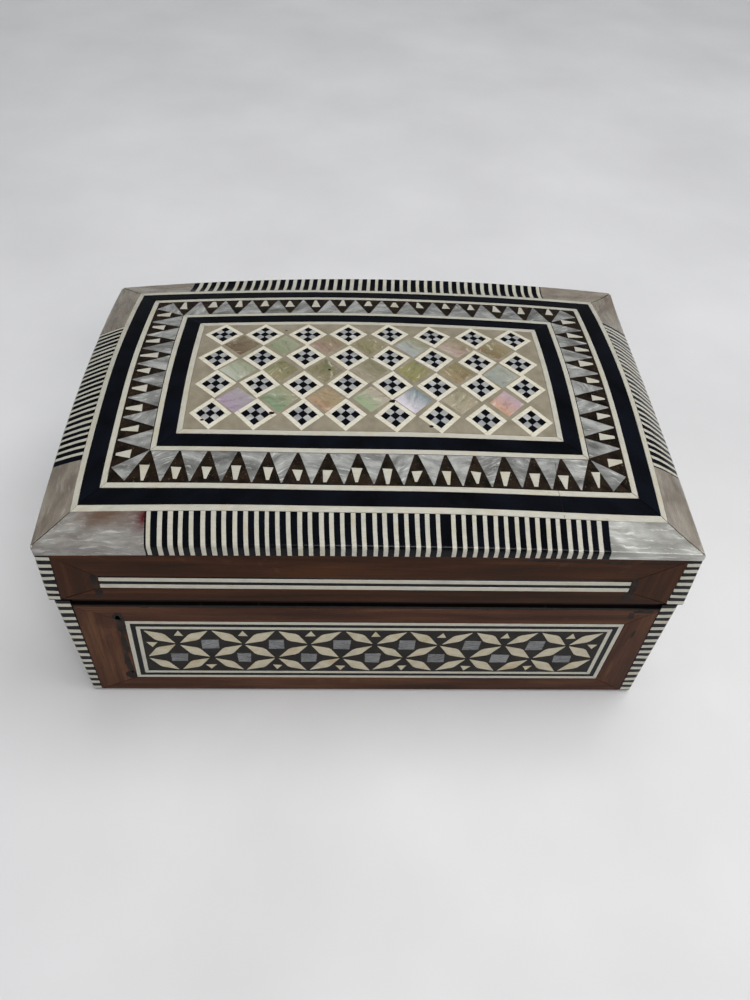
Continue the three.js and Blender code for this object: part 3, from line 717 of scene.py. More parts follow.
def makeFrames():
    line = bands["lines"]
    wide = stations(4, 0.2)
    makePiece(
        "outer_frame_bone", bandParts(line[0], line[1]) + bandParts(line[2], line[3]), "bone",
        ["lid_outer_frame"]
    )
    makePiece("outer_frame_black", bandParts(line[1], line[2], wide, top=-0.02), "ebony", ["lid_outer_frame"])
    makePiece(
        "inner_frame_bone", bandParts(line[4], line[5]) + bandParts(line[6], line[7]), "bone",
        ["lid_inner_frame"]
    )
    makePiece("inner_frame_black", bandParts(line[5], line[6], wide, top=-0.02), "ebony", ["lid_inner_frame"])


teeth = {
    "counts": {"front": 15, "right": 8, "back": 14, "left": 8},  # full shell triangles on each side
    "baseShare": 0.46,  # half a triangle's base, as a share of the spacing
    "wedgeBase": 1.22,
    "wedgeTip": 0.2,
    "wedgeStart": 0.49,  # where a bone wedge begins, as a share of the band's width from its inner line
    "wedgeEnd": 0.92,
    "jitter": 0.16,
}


def makeTeeth():
    outer, inner = bands["lines"][3], bands["lines"][4]
    ground = bandParts(outer, inner, stations(7, 0.12), top=-0.05, bevel=0.03)
    triangles, wedges = [], []
    for side in sides:
        axis = axisOf(side)
        near, far = inner[axis], outer[axis]
        half, count = inner[1 - axis], teeth["counts"][side]
        step = 2 * half / count
        shake = lambda *shape: rng.normal(0, teeth["jitter"], shape)
        centre = -half + step * (np.arange(count) + 0.5) + 0.4 * shake(count)
        reach = step * teeth["baseShare"] + 0.4 * shake(count)
        tip = centre + 1.2 * shake(count)
        top = far - 0.3 - 0.6 * np.abs(shake(count))
        along = np.stack([centre - reach, centre + reach, tip + 0.16, tip - 0.16], 1)
        out = np.stack([near + 0.1 + 0 * tip, near + 0.1 + 0 * tip, top, top], 1)
        triangles.append(facing(side, along, out, 0)[..., :2])
        spots = np.linspace(-half, half, count + 1) + 0.8 * shake(count + 1)
        spots[0] -= 0.7
        spots[-1] += 0.7
        wide = teeth["wedgeBase"] + 0.6 * shake(count + 1)
        slim = teeth["wedgeTip"] + np.abs(shake(count + 1))
        lean = 1.6 * shake(count + 1)
        low = near + (far - near) * (teeth["wedgeStart"] + 0.25 * shake(count + 1))
        high = near + (far - near) * (teeth["wedgeEnd"] + 0.2 * shake(count + 1))
        along = np.stack([spots - wide, spots + wide, spots + lean + slim, spots + lean - slim], 1)
        out = np.stack([low, low + 0.6 * shake(count + 1), high, high], 1)
        wedges.append(facing(side, along, out, 0)[..., :2])
    (outX, outY), (inX, inY) = outer, inner
    corner = np.array([(inX + 0.1, inY + 0.1), (outX - 0.3, inY + 4.6), (inX + 4.4, outY - 0.35)])
    signs = np.array([(-1, -1), (1, -1), (1, 1), (-1, 1)])
    corners = corner[None] * signs[:, None] + rng.normal(0, 0.15, (4, 3, 2))
    shells = [tiles(lidTop, rows, turns=rng.normal(0, 0.5, len(rows))) for rows in triangles]
    shells.append(tiles(lidTop, corners, turns=rng.random(4) * 3))
    nodes = ["lid_tooth_frame"]
    makePiece("tooth_frame_ground", ground, "toothPaste", nodes)
    makePiece("tooth_frame_shell", shells, "shell", nodes)
    makePiece("tooth_frame_bone", [tiles(lidTop, rows) for rows in wedges], "bone", nodes)


panel = {
    "pitch": (11.2, 10.4),
    "across": 8,
    "down": 4,
    "side": 7.4,
    "strip": 1.22,
    "checks": (1.05, 0.97),  # side of the black and the pale checks, as a share of a third of the space
    "pearlHalf": (4.75, 4.45),
    "wander": 0.2,
    "turn": 0.05,
    # the pearl diamonds row by row from the back, each with the colours of its right and its left half; the
    # middle row's first and the front row's fifth have a near-white half that is a painted glint
    "shades": [
        [
            "#6E6650 #5A4A38", "#98A088 #7F8A6E", "#84795F #9A8478", "#8A8468 #7E7C5A", "#8F8A70 #A6B0B4",
            "#8E8268 #B39E98", "#8D8060 #7A6248"
        ],
        [
            "#8F967E #B7BEB0", "#757050 #8C8766", "#6E6C50 #7E7A5C", "#757158 #9A9282", "#7F7C58 #8E8C58",
            "#7A7050 #968566", "#9FA29A #8F9A96"
        ],
        [
            "#9C98A0 #A592AC", "#9A9C80 #6E8F70", "#9B8A6C #A98A70", "#B8A79C #8EA682", "#5F7E88 #E4DEEA",
            "#989078 #A8A18C", "#B3A0B0 #C79A80"
        ],
    ],
    "specks": [
        (-24.2, -15.2, 0.75), (-40.8, -17.6, 0.5), (14.5, -18.6, 0.6), (-22.6, 17.3, 0.35), (27.9, 5.6, 0.3),
        (-10.5, 0.2, 0.4), (5.4, -10.9, 0.8), (0.6, 5.0, 0.4), (-28.0, -5.9, 0.3)
    ],
}


def turnedSquare(shapes, centres, angles):
    # shapes (parts, corners, 2) laid at every centre and turned by its own angle
    cos, sin = np.cos(angles)[:, None, None], np.sin(angles)[:, None, None]
    x, y = shapes[None, ..., 0], shapes[None, ..., 1]
    spread = np.stack([x * cos - y * sin, x * sin + y * cos], -1) + centres[:, None, None]
    return spread.reshape(-1, shapes.shape[1], 2)


def panelSpots(across, down):  # the middles of a grid of tiles, row by row
    steps = [
        (np.arange(count) - (count - 1) / 2) * step for count, step in zip((across, down), panel["pitch"])
    ]
    return np.stack([grid.ravel() for grid in np.meshgrid(*steps)], 1)


def makePanel():
    halfX, halfY = bands["lines"][7]
    corners = boxCorners(0.05 - halfX, 0.05 - halfY, halfX - 0.05, halfY - 0.05)
    ground = strips(lidTop, corners, ts=stations(40, 0.02), ws=stations(20, 0.03), top=-0.03, bevel=0.03)
    centres = panelSpots(panel["across"], panel["down"])
    centres += rng.normal(0, panel["wander"], centres.shape)
    angles = math.pi / 4 + rng.normal(0, panel["turn"], len(centres))
    half, strip = panel["side"] / 2, panel["strip"]
    bar = np.array(
        [(-half, -half), (half - strip, -half), (half - strip, strip - half), (-half, strip - half)]
    )
    bar[:, 0] += 0.015
    quarter = np.array([(0, -1), (1, 0)])
    bars = np.stack([bar, bar @ quarter, bar @ quarter @ quarter, bar @ quarter @ quarter @ quarter])
    cell = (panel["side"] - 2 * strip) / 3
    square = np.array([(-0.5, -0.5), (0.5, -0.5), (0.5, 0.5), (-0.5, 0.5)]) * cell
    spots = np.array([(i, j) for i in (-1, 0, 1) for j in (-1, 0, 1)], float)
    dark = spots[(spots.sum(1) % 2) == 0] * cell
    pale = spots[(spots.sum(1) % 2) != 0] * cell
    nodes = ["lid_centre_panel"]
    makePiece("panel_ground", [ground], "panelPaste", nodes)
    makePiece(
        "panel_diamond_frames", [tiles(lidTop, turnedSquare(bars, centres, angles))], "diamondBone", nodes
    )
    for kind, finish, spots, size, top in [
        ("black", "ebony", dark, panel["checks"][0], 0.008),
        ("shell", "checkShell", pale, panel["checks"][1], 0.0),
    ]:
        checks = turnedSquare(square[None] * size + spots[:, None], centres, angles)
        makePiece(f"panel_{kind}_checks", [tiles(lidTop, checks, bevel=0.04, top=top)], finish, nodes)
    rows, columns = len(panel["shades"]), len(panel["shades"][0])
    middles = panelSpots(columns, rows) * (1, -1) + rng.normal(0, panel["wander"], (rows * columns, 2))
    halfWide, halfTall = panel["pearlHalf"]
    rhomb = np.array([(halfWide, 0), (0, halfTall), (-halfWide, 0), (0, -halfTall)])
    size = 1 + rng.normal(0, 0.03, (rows * columns, 1, 2))
    outlines = rhomb[None] * size + middles[:, None] + rng.normal(0, 0.1, (rows * columns, 4, 2))
    pairs = [pair.split() for row in panel["shades"] for pair in row]
    shades = np.array([[linear(code) for code in pair] for pair in pairs])[:, [0, 0, 1, 1]]
    turns = rng.random(rows * columns) * 3
    makePiece(
        "panel_pearl_diamonds", [tiles(lidTop, outlines, top=-0.005, turns=turns, tints=shades)], "pearl",
        nodes
    )
    around = np.linspace(0, 2 * math.pi, 9)[:-1]
    x, y, r = [values[:, None] for values in np.array(panel["specks"]).T]
    lumpy = r * (1 + 0.3 * np.sin(3 * around + x))
    blobs = np.stack([x + lumpy * np.cos(around), y + 0.7 * r * np.sin(around)], -1)
    makePiece("panel_glue_specks", [tiles(lidTop, blobs, top=0.0, bevel=0.03)], "filler", nodes)


def makeBorders():
    across = np.array([0.1, 0.2, 0.235, 0.27, 0.305, 0.34, 0.55, 0.78])
    for side in sides:
        chart, facts = borderFace(side), borders[side]
        full = shell["lidRimHalf"][1 - axisOf(side)]
        start, end = facts["run"]
        nodes = [f"lid_border_{side}"]
        ground = strips(
            chart, boxCorners(start - 0.25, 0, end + 0.25, 1), ts=stations(50, 0.01), ws=across, top=-0.03,
            bevel=0.03
        )
        count, (joinAfter, extra) = facts["count"], facts["join"]
        step = (end - start - extra) / count
        k = np.arange(count)
        left = start + step * k + extra * (k >= joinAfter) + rng.normal(0, 0.07, count)
        wide = step * stripe["share"] + rng.normal(0, stripe["jitter"] * 0.6, count)
        lean = rng.normal(0, 0.05, count)
        right, foot, head = left + wide, 0 * left, 0 * left + 1
        lines = [(left, foot), (right, foot), (left + lean, head), (right + lean, head)]
        rows = np.stack([np.stack(point, 1) for point in lines], 1)
        makePiece(f"{side}_border_black", [ground], "dullEbony", nodes)
        makePiece(f"{side}_border_bone", [strips(chart, rows, ws=across)], "bone", nodes)
        gap = stripe["joint"]
        ends = [boxCorners(gap - full, 0, start - 0.35, 1), boxCorners(end + 0.35, 0, full - gap, 1)]
        for corners, name, kind in zip(ends, ("left", "right"), facts["shell"]):
            makePiece(
                f"{side}_border_shell_{name}", [strips(chart, corners, ts=stations(12, 0.06), ws=across)],
                kind, nodes
            )
    # dark glue in the four mitres
    inner, outer = np.array(bands["lines"][0]) + 0.1, np.array(shell["lidRimHalf"]) - 1.3
    off = np.array([-0.2, 0.2])
    joint = np.array([inner + off, outer + off, inner - off, outer - off])
    joints = [joint * np.array(sign) for sign in ((-1, -1), (1, -1), (1, 1), (-1, 1))]
    makePiece(
        "border_mitre_glue",
        [strips(lidTop, joints, ts=np.linspace(0.08, 0.96, 14), top=-0.06, bevel=0.02, thick=0.9)], "filler",
        ["lid_border_front", "lid_border_back", "lid_border_left", "lid_border_right"]
    )


# how far a striped strip reaches along a face at its foot and head, and how many white lines it has
cornerFaces = {
    "base": {"foot": 0.9, "left": (2.5, 3.9), "right": (3.2, 4.1), "side": 4.0, "lines": 15},
    "lid": {"foot": 44.2, "left": (3.1, 3.5), "right": (4.5, 3.3), "side": 4.0, "lines": 7},
    "share": 0.5,
    "baseHead": {"front": 43.2, "back": 40.2},
    "lidFootBack": 45.9,
}


def cornerChart(part, index):
    # round a vertical corner: p is negative on the first side and positive on the second, with a small round
    # between
    first = sides[index]
    axis = axisOf(first)
    radius = shell["cornerRound"]

    def chart(p, z):
        if part == "base":
            out, reach = shell["baseHalf"][axis] + 0 * z, shell["baseHalf"][1 - axis] + 0 * z
        else:
            out, reach = lidOut(first, z), lidOut(sides[(index + 1) % 4], z)
        angle = np.clip((p / radius + 1) / 2, 0, 1) * math.pi / 2
        along = reach - radius + radius * np.sin(angle) + np.minimum(p + radius, 0)
        outward = out - radius + radius * np.cos(angle) - np.maximum(p - radius, 0)
        return facing(first, along, outward, z)

    return chart


def cornerReach(part, index):
    # how far the strip reaches on its first and second side, each as (foot, head)
    facts = cornerFaces[part]
    left, right, plain = facts["left"], facts["right"], (facts["side"], facts["side"])
    return [(right, plain), (plain, right), (left, plain), (plain, left)][index]


def cornerSpan(part, index):
    back = index in (1, 2)
    if part == "base":
        return cornerFaces["base"]["foot"], cornerFaces["baseHead"]["back" if back else "front"]
    foot = cornerFaces["lidFootBack"] if back else cornerFaces["lid"]["foot"]
    return foot, float(lipFoot("front", np.array(75.0))) - 0.06


def makeCorners():
    names = ["front_right", "back_right", "back_left", "front_left"]
    for part in ("base", "lid"):
        for index, name in enumerate(names):
            chart = cornerChart(part, index)
            (footA, headA), (footB, headB) = cornerReach(part, index)
            foot, head = cornerSpan(part, index)
            radius = shell["cornerRound"]
            reach = footA + footB
            around = [(footA + p) / reach for p in (-radius, -radius / 2, 0, radius / 2, radius)]
            nodes = [f"{part}_corner_{name}"]
            ground = strips(
                chart, [(-footA, foot), (footB, foot), (-headA, head), (headB, head)], ts=around,
                ws=stations(6, 0.1), top=-0.03, bevel=0.03
            )
            count = cornerFaces[part]["lines"]
            step = (head - foot) / count
            low = foot + step * (np.arange(count) + 0.1) + rng.normal(0, 0.08, count)
            high = low + step * cornerFaces["share"] + rng.normal(0, 0.06, count)
            tilt = rng.normal(0, 0.12, count)
            share = (low - foot) / (head - foot)
            widthA, widthB = footA + (headA - footA) * share, footB + (headB - footB) * share
            lines = [
                (-widthA, low - tilt), (widthB, low + tilt), (-widthA, high - tilt), (widthB, high + tilt)
            ]
            rows = np.stack([np.stack(point, 1) for point in lines], 1)
            makePiece(f"{part}_{name}_strip_black", [ground], "dullEbony", nodes)
            makePiece(f"{part}_{name}_strip_bone", [strips(chart, rows, ts=around, top=-0.01)], "bone", nodes)


# the mosaic or stringing on each face, as corner points seen from outside: bottom left and right, top left
# and right
fields = {
    "base": {
        "front": [(-62.3, 7.4), (63.9, 7.4), (-60.5, 34.6), (64.4, 34.6)],
        "right": boxCorners(-37.5, 7.4, 37.5, 34.6),
        "back": boxCorners(-63.2, 7.4, 63.2, 34.6),
        "left": boxCorners(-37.5, 7.4, 37.5, 34.6),
    },
    "lid": {
        "front": [(-63.2, 49.0), (61.2, 49.0), (-63.0, 53.1), (61.0, 53.1)],
        "right": boxCorners(-38, 49.0, 38, 53.1),
        "back": boxCorners(-62, 49.0, 62, 53.1),
        "left": boxCorners(-38, 49.0, 38, 53.1),
    },
    "baseFoot": 0.9,
    "baseHead": {"front": 40.8, "right": 40.8, "back": 40.2, "left": 40.8},
    "seamShadeHead": 41.6,  # top of the near-black strip above the base's veneer, painted shade of the seam under the lid, with pale specks; the back has none
    "lidFoot": {"front": 44.4, "right": 44.4, "back": 45.9, "left": 44.4},
}


def sideReach(part, side, foot):
    # how far from the corner the veneer starts on a side, at its foot or head, as (left, right) seen from
    # outside
    pick = 0 if foot else 1
    index = sides.index(side)
    return cornerReach(part, (index - 1) % 4)[1][pick], cornerReach(part, index)[0][pick]


def makeVeneers():
    for part in ("base", "lid"):
        for side in sides:
            face = baseFace(side) if part == "base" else lidFace(side)
            full = (shell["baseHalf"] if part == "base" else shell["lidFootHalf"])[1 - axisOf(side)]
            field = fields[part][side]
            if part == "base":
                foot, head = fields["baseFoot"], fields["baseHead"][side]
                headAt = lambda s, head=head: head + 0 * s
            else:
                foot = fields["lidFoot"][side]
                headAt = lambda s, side=side: lipFoot(side, np.clip(s, -75.6, 75.6)) - 0.06
            footLeft, footRight = sideReach(part, side, True)
            headLeft, headRight = sideReach(part, side, False)
            lean = 0 if part == "base" else 0.7
            outerFoot = (-full + footLeft + 0.05, full - footRight - 0.05)
            outerHead = (-full + lean + headLeft + 0.05, full - lean - headRight - 0.05)
            (bottomLeft, bottomRight, topLeft, topRight) = [np.array(p, float) for p in field]
            gap = 0.06

            def topStrip(s, w, face=face, topLeft=topLeft, headAt=headAt):
                # w from the field's top edge (0) to the head (1)
                low = topLeft[1] + gap
                return face(s, low + (headAt(s) - low) * w)

            below = [
                (outerFoot[0], foot), (outerFoot[1], foot), bottomLeft - (0, gap), bottomRight - (0, gap)
            ]
            above = [(topLeft[0], 0), (topRight[0], 0), (outerHead[0], 1), (outerHead[1], 1)]
            rails = [
                strips(face, below, ts=stations(15), bevel=0.12),
                strips(topStrip, above, ts=stations(25, 0.04), bevel=0.12)
            ]
            for end, low, high, way in ((0, bottomLeft, topLeft, -gap), (1, bottomRight, topRight, gap)):
                top = float(headAt(np.array(outerHead[end]))) - 0.08
                beside = [
                    (outerFoot[end], foot + 0.08), (outerHead[end], top), low + (way, 0), high + (way, 0)
                ]
                rails.append(strips(face, beside, ts=(0.3, 0.6), bevel=0.12))
            # a near-black strip over the veneer's top edge: painted shade where the lid shades the seam
            if part == "base" and side != "back":
                rim = boxCorners(outerHead[0], head + 0.05, outerHead[1], fields["seamShadeHead"])
                makePiece(
                    f"base_{side}_seam_shade_rim", [strips(face, rim, ts=stations(15), bevel=0.15)], "seamPaintedShade",
                    [f"base_{side}_veneer"]
                )
            makePiece(f"{part}_{side}_rosewood", rails, f"{part}Veneer", [f"{part}_{side}_veneer"])


def inField(side, part, corners, size):
    # u and v in millimetres over a panel of that size, laid on the four corner points of its field
    bottomLeft, bottomRight, topLeft, topRight = [np.array(p, float) for p in corners]
    face = baseFace(side) if part == "base" else lidFace(side)

    def chart(u, v):
        a, b = (u / size[0])[..., None], (v / size[1])[..., None]
        spot = (bottomLeft * (1 - a) + bottomRight * a) * (1 - b) + (topLeft * (1 - a) + topRight * a) * b
        return face(spot[..., 0], spot[..., 1])

    return chart


def ringStrips(size, inset, width, gap=0.03):
    # four mitred strips of one line round a panel, inset from its edge
    x0, y0, x1, y1 = inset + gap, inset + gap, size[0] - inset - gap, size[1] - inset - gap
    w = width - 2 * gap
    return [
        [(x0, y0), (x1, y0), (x0 + w, y0 + w), (x1 - w, y0 + w)],
        [(x0, y1), (x1, y1), (x0 + w, y1 - w), (x1 - w, y1 - w)],
        [(x0, y0 + 0.06), (x0, y1 - 0.06), (x0 + w, y0 + w + 0.06), (x0 + w, y1 - w - 0.06)],
        [(x1, y0 + 0.06), (x1, y1 - 0.06), (x1 - w, y0 + w + 0.06), (x1 - w, y1 - w - 0.06)],
    ]


mosaic = {
    # inset and width of the two bone lines round the field; black lies between them
    "lines": [(0.0, 1.15), (2.35, 1.1)],
    "edge": 3.75,  # where the pattern starts
    "repeats": {"front": 7, "right": 4, "back": 7, "left": 4},
    "recess": 0.62,  # how far a petal's tip stops short of its node
    "tipAngle": 21.0,
    "blunt": 0.5,
    "square": (4.4, 4.1),
    "triangle": (2.6, 2.3),
    "jitter": 0.11,
}


def petals(starts, ends):
    # rhombs from node to node whose two side corners are blunted: six corners each
    along = ends - starts
    reach = np.linalg.norm(along, axis=-1, keepdims=True)
    along = along / reach
    side = np.stack([-along[:, 1], along[:, 0]], 1)
    middle = (starts + ends) / 2 + rng.normal(0, mosaic["jitter"], starts.shape)
    half = reach / 2 - mosaic["recess"] + rng.normal(0, 0.1, reach.shape)
    wide = half * math.tan(math.radians(mosaic["tipAngle"])) * (1 + rng.normal(0, 0.05, reach.shape))
    cut = mosaic["blunt"]
    trim = 1 - cut / half
    out = side * wide * trim
    low, high = middle - along * cut, middle + along * cut
    spots = [middle - along * half, low - out, high - out, middle + along * half, high + out, low + out]
    return np.stack(spots, 1)


def makeMosaics():
    for side in sides:
        field = fields["base"][side]
        size = (np.linalg.norm(np.subtract(field[1], field[0])), field[2][1] - field[0][1])
        chart = inField(side, "base", field, size)
        nodes = [f"base_{side}_mosaic"]
        repeats = mosaic["repeats"][side]
        x0, y0 = mosaic["edge"], mosaic["edge"]
        pitch, rise = (size[0] - 2 * x0) / repeats, (size[1] - 2 * y0) / 3
        k = np.arange(repeats)
        full = np.arange(repeats + 1)
        node = lambda steps, row: np.stack([x0 + steps * pitch, 0 * steps + y0 + row * rise], 1)
        starts = [(k, 1), (k + 1, 1), (k + 0.5, 2), (k + 0.5, 2), (k, 1), (k + 1, 1)]
        ends = [(k + 0.5, 2), (k + 0.5, 2), (k, 3), (k + 1, 3), (k + 0.5, 0), (k + 0.5, 0)]
        starts, ends = [np.concatenate([node(*spot) for spot in spots]) for spots in (starts, ends)]
        bones = tiles(chart, petals(starts, ends), bevel=0.06)
        squares = np.concatenate([node(k + 0.5, 1), node(full[1:-1] + 0.0, 2)])
        wide, tall = mosaic["square"]
        box = np.array([(-wide, -tall), (wide, -tall), (wide, tall), (-wide, tall)]) / 2
        sized = box[None] * (1 + rng.normal(0, 0.06, (len(squares), 1, 2)))
        boxes = squares[:, None] + sized + rng.normal(0, mosaic["jitter"], (len(squares), 4, 2))
        width, height = mosaic["triangle"]
        up = np.array([(-width / 2, 0), (width / 2, 0), (0, height)])
        above = node(k + 0.5, 3)[:, None] + up[None] - np.array([0, height + 0.55])
        flipped = up[None] * np.array([1, -1])
        below = node(full[1:-1] + 0.0, 0)[:, None] + flipped + np.array([0, height + 0.45])
        level = y0 + 2 * rise + 0.9
        outermost = np.array([[x0 + 0.5, level], [size[0] - x0 - 0.5 - width, level]])[:, None]
        outermost = outermost + (up[None] + np.array([width / 2, 0])) * np.array([1, -1])
        small = np.concatenate([above, below, outermost])
        small = small + rng.normal(0, mosaic["jitter"], small.shape) + rng.normal(0, 0.2, (len(small), 1, 2))
        ground = strips(
            chart, boxCorners(0.02, 0.02, size[0] - 0.02, size[1] - 0.02), ts=stations(15), ws=(0.3, 0.7),
            top=-0.05, bevel=0.03
        )
        lines = [
            strips(chart, ringStrips(size, *line), ts=stations(9, 0.1), bevel=0.06)
            for line in mosaic["lines"]
        ]
        black = strips(chart, ringStrips(size, 1.15, 1.2), ts=stations(9, 0.1), bevel=0.04, top=-0.02)
        makePiece(f"{side}_mosaic_ground", [ground], "mosaicPaste", nodes)
        makePiece(f"{side}_mosaic_lines", lines, "bone", nodes)
        makePiece(f"{side}_mosaic_bone", [bones, tiles(chart, small, bevel=0.05)], "petalBone", nodes)
        makePiece(f"{side}_mosaic_black", [black], "dullEbony", nodes)
        makePiece(
            f"{side}_mosaic_shell", [tiles(chart, boxes, bevel=0.05, turns=rng.normal(0, 0.2, len(boxes)))],
            "squareShell", nodes
        )


# foot above the field's foot, and width
stringing = {"bone": [(0.0, 1.35), (2.4, 1.3)], "black": [(1.36, 1.05), (3.7, 0.4)]}


def makeStringing():
    for side in sides:
        field = fields["lid"][side]
        size = (field[1][0] - field[0][0], field[2][1] - field[0][1])
        chart = inField(side, "lid", field, size)
        nodes = [f"lid_{side}_stringing"]
        scale = size[1] / 4.1
        row = lambda low, wide: boxCorners(0.03, low * scale, size[0] - 0.03, (low + wide) * scale - 0.04)
        along = stations(13)
        makePiece(
            f"{side}_stringing_bone",
            [strips(chart, row(*line), ts=along, bevel=0.08, thick=0.6) for line in stringing["bone"]],
            "bone", nodes
        )
        makePiece(
            f"{side}_stringing_black",
            [
                strips(chart, row(*line), ts=along, bevel=0.05, thick=0.6, top=-0.04)
                for line in stringing["black"]
            ],
            "dullEbony", nodes
        )


smears = {  # dark filler rubbed into gaps and over the veneer: place along the face and up, and half sizes
    "lid": [
        (-64.1, 51.3, 0.9, 2.9), (-63.8, 47.0, 1.1, 1.8), (62.0, 51.3, 0.9, 2.9), (61.3, 47.2, 1.2, 1.9),
        (38.0, 60.3, 4.2, 0.45), (46.5, 60.0, 5.0, 0.5), (29.0, 60.6, 2.2, 0.3), (56.0, 59.7, 3.4, 0.45),
        (-49.6, 60.6, 1.2, 0.3),
    ],
    "base": [
        (-61.6, 36.9, 1.4, 1.8), (-61.7, 32.5, 1.0, 4.0), (-62.4, 24.5, 0.9, 5.4), (-63.2, 15.0, 0.9, 5.0),
        (-63.4, 8.8, 1.3, 2.2), (67.2, 40.2, 3.0, 0.6), (64.9, 38.4, 0.8, 1.5), (-54.5, 40.9, 1.2, 0.5),
        (30.0, 40.9, 1.6, 0.3), (67.9, 30.0, 0.4, 2.0),
    ],
    "rough": 0.16,  # how uneven their outlines are
}


def makeSmears():
    turn = np.linspace(0, 2 * math.pi, 15)[:-1]
    for part, chart in (("lid", lidFace("front")), ("base", baseFace("front"))):
        rows = np.array(smears[part])
        uneven = 1 + rng.normal(0, smears["rough"], (len(rows), len(turn)))
        circle = np.stack([np.cos(turn), np.sin(turn)], -1)
        outlines = rows[:, None, :2] + rows[:, None, 2:] * circle[None] * uneven[..., None]
        makePiece(
            f"{part}_front_filler", [tiles(chart, outlines, thick=0.1, bevel=0.02, top=0.01)], "filler",
            [f"{part}_front_veneer"]
        )


cracks = [  # their two ends in plan, and width
    (43.4, -28.0, 42.9, -36.5, 0.08), (42.9, -36.5, 43.3, -43.2, 0.09), (-60.2, -26.5, -60.5, -33.8, 0.07),
]


def makeCracks():
    rows = np.array(cracks)
    start, end = rows[:, :2], rows[:, 2:4]
    along = (end - start) / np.linalg.norm(end - start, axis=1, keepdims=True)
    off = np.stack([-along[:, 1], along[:, 0]], 1) * rows[:, 4:] / 2
    corners = np.stack([start + off, end + off, start - off, end - off], 1)
    makePiece(
        "lid_hairline_cracks",
        [strips(lidTop, corners, ts=(0.25, 0.5, 0.75), thick=0.05, bevel=0.004, top=0.012)], "filler",
        ["lid_outer_frame"]
    )


makeFrames()
makeTeeth()
makePanel()
makeBorders()
makeSmears()
makeCracks()
print("lid top made")
makeCorners()
makeVeneers()
makeMosaics()
makeStringing()
print("sides made")

# Lining and underside cloth

cloth = {"wallPuff": 0.25, "floorPuff": 0.45, "edgeRound": 0.35, "thick": 1.4}


def insideFace(side, out):
    return lambda s, z: facing(side, -s, out + 0 * z, z)


def sizeOf(node):  # its lowest and highest corners in millimetres
    return [np.array(p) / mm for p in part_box(node)]


def wallPads(high, foot, head, ws):
    # a crowned pad on each wall from foot to head, its face a pad's thickness inside the lining's box
    thick, parts = cloth["thick"], []
    for side in sides:
        axis = axisOf(side)
        edge = high[1 - axis] - (0.05 if axis == 1 else thick + 0.05)
        chart, corners = insideFace(side, high[axis] - thick), boxCorners(-edge, foot, edge, head)
        look = {"bevel": cloth["edgeRound"], "top": -0.3, "crown": cloth["wallPuff"]}
        parts.append(strips(chart, corners, ts=stations(9, 0.1), ws=ws, thick=thick - 0.05, **look))
    return parts


def flatPad(low, high, z, up, inset, counts, **look):
    # a pad over the box's plan at height z, facing up (1) or down (-1)
    chart = lambda x, y: np.stack([x, up * y, 0 * x + z], -1)
    corners = boxCorners(low[0] + inset, low[1] + inset, high[0] - inset, high[1] - inset)
    return strips(chart, corners, ts=stations(counts[0], 0.02), ws=stations(counts[1], 0.03), **look)


def makeLinings():
    thick, puff = cloth["thick"], {"bevel": cloth["edgeRound"], "crown": cloth["floorPuff"]}
    low, high = sizeOf("base_lining_walls")
    walls = wallPads(high, low[2] + thick, high[2], stations(9, 0.1))
    makePiece("base_wall_velvet", walls, "velvet", ["base_lining_walls"], smooth=60)
    low, high = sizeOf("base_lining_floor")
    floor = flatPad(low, high, high[2], 1, 0.1, (30, 20), thick=high[2] - low[2] - 0.02, top=-0.1, **puff)
    makePiece("base_floor_velvet", [floor], "velvet", ["base_lining_floor"], smooth=60)
    low, high = sizeOf("lid_lining")
    parts = wallPads(high, low[2], high[2] - thick, (0.3, 0.5, 0.7))
    parts.append(flatPad(low, high, high[2] - thick, -1, 0.1, (30, 20), thick=thick - 0.05, top=-0.3, **puff))
    makePiece("lid_velvet", parts, "velvet", ["lid_lining"], smooth=60)
    low, high = sizeOf("base_underside_felt")
    felt = flatPad(low, high, low[2], -1, 0, (20, 14), thick=high[2] - low[2], bevel=0.25)
    makePiece("underside_felt", [felt], "felt", ["base_underside_felt"], smooth=60)


makeLinings()
print("linings made")

for name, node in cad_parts.items():
    kind = "brass" if name.startswith("hinge") else "core"
    node.data.materials.clear()
    node.data.materials.append(finishes[kind])

# Floor and light

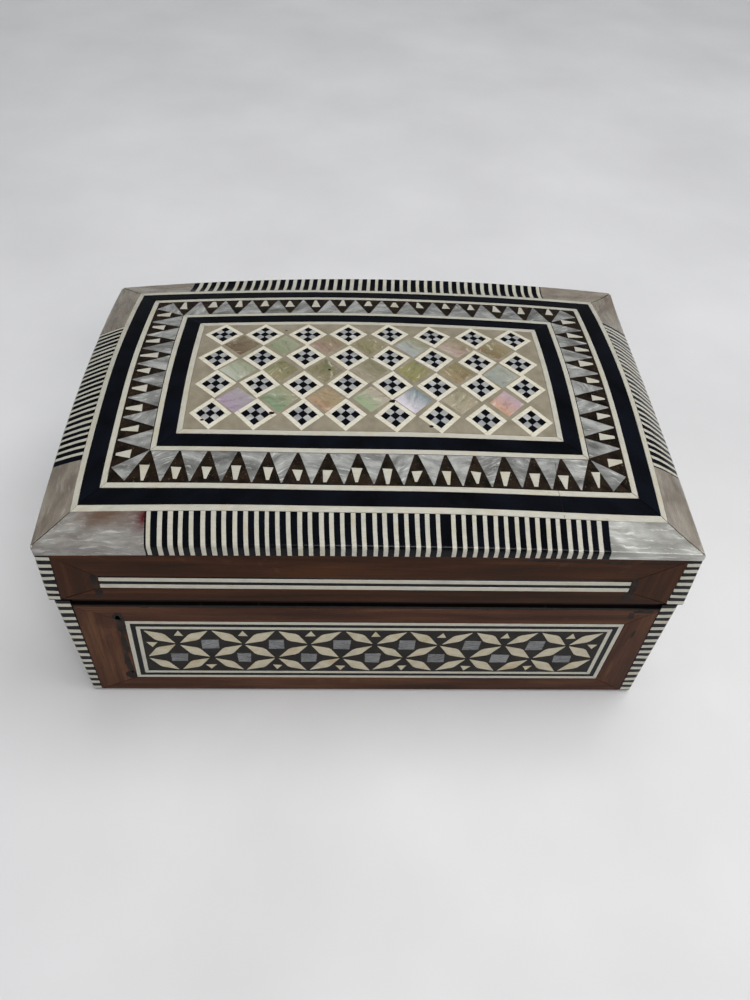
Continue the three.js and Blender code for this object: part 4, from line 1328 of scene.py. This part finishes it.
studio = {
    "floor": ("#D3D3D4", "#DFDFE0"),
    "sky": "#E9EEF5",
    "skyStrength": 0.07,
    "lights": [  # name, place in metres, width and depth, watts, colour, whether it shows in reflections
        ("key_softbox", (0.4, -1.15, 1.05), (1.0, 0.3), 12, "#FFFDFA", True),
        ("ceiling_softbox", (0.3, 0.05, 1.2), (0.9, 0.9), 11, "#FFFFFF", False),
        ("window_softbox", (1.3, 0.1, 0.7), (0.8, 0.8), 3, "#F4F8FF", True),
        ("left_softbox", (-1.2, -0.2, 0.6), (0.8, 0.8), 2.5, "#F4F8FF", True),
        ("back_softbox", (-0.2, 1.5, 0.45), (1.2, 0.6), 3, "#F4F8FF", False),
    ],
}


def makeStudio():
    # painted board, rolled flat and faintly mottled: a soft, low sheen
    made, add, where = startFinish("whiteTableTop", onPiece=False)
    mottle = add("TexNoise", {"Vector": where, "Scale": 0.012, "Detail": 4.0})
    colour = add("ValToRGB", {0: mottle}, stops=list(zip((0.3, 0.7), studio["floor"])))
    endFinish(made, {"Base Color": colour, "Roughness": 0.38})
    mesh = bpy.data.meshes.new("table_top")
    reach = 6.0
    corners = [(-reach, -reach, 0), (reach, -reach, 0), (reach, reach, 0), (-reach, reach, 0)]
    mesh.from_pydata(corners, [], [(0, 1, 2, 3)])
    mesh.materials.append(made)
    table = bpy.data.objects.new("table_top", mesh)
    bpy.context.scene.collection.objects.link(table)
    for name, spot, size, watts, colour, shows in studio["lights"]:
        light = bpy.data.lights.new(name, "AREA")
        light.shape, light.size, light.size_y = "RECTANGLE", *size
        light.energy, light.color = watts, linear(colour)[:3]
        lamp = bpy.data.objects.new(name, light)
        bpy.context.scene.collection.objects.link(lamp)
        lamp.location, lamp.visible_glossy = spot, shows
        lamp.rotation_euler = Vector(spot).to_track_quat("Z", "Y").to_euler()
    world = bpy.data.worlds.new("studio")
    world.use_nodes = True
    sky = world.node_tree.nodes["Background"].inputs
    sky["Color"].default_value, sky["Strength"].default_value = linear(studio["sky"]), studio["skyStrength"]
    bpy.context.scene.world = world
    bpy.context.scene.view_settings.view_transform = "Standard"


makeStudio()
print("studio made")
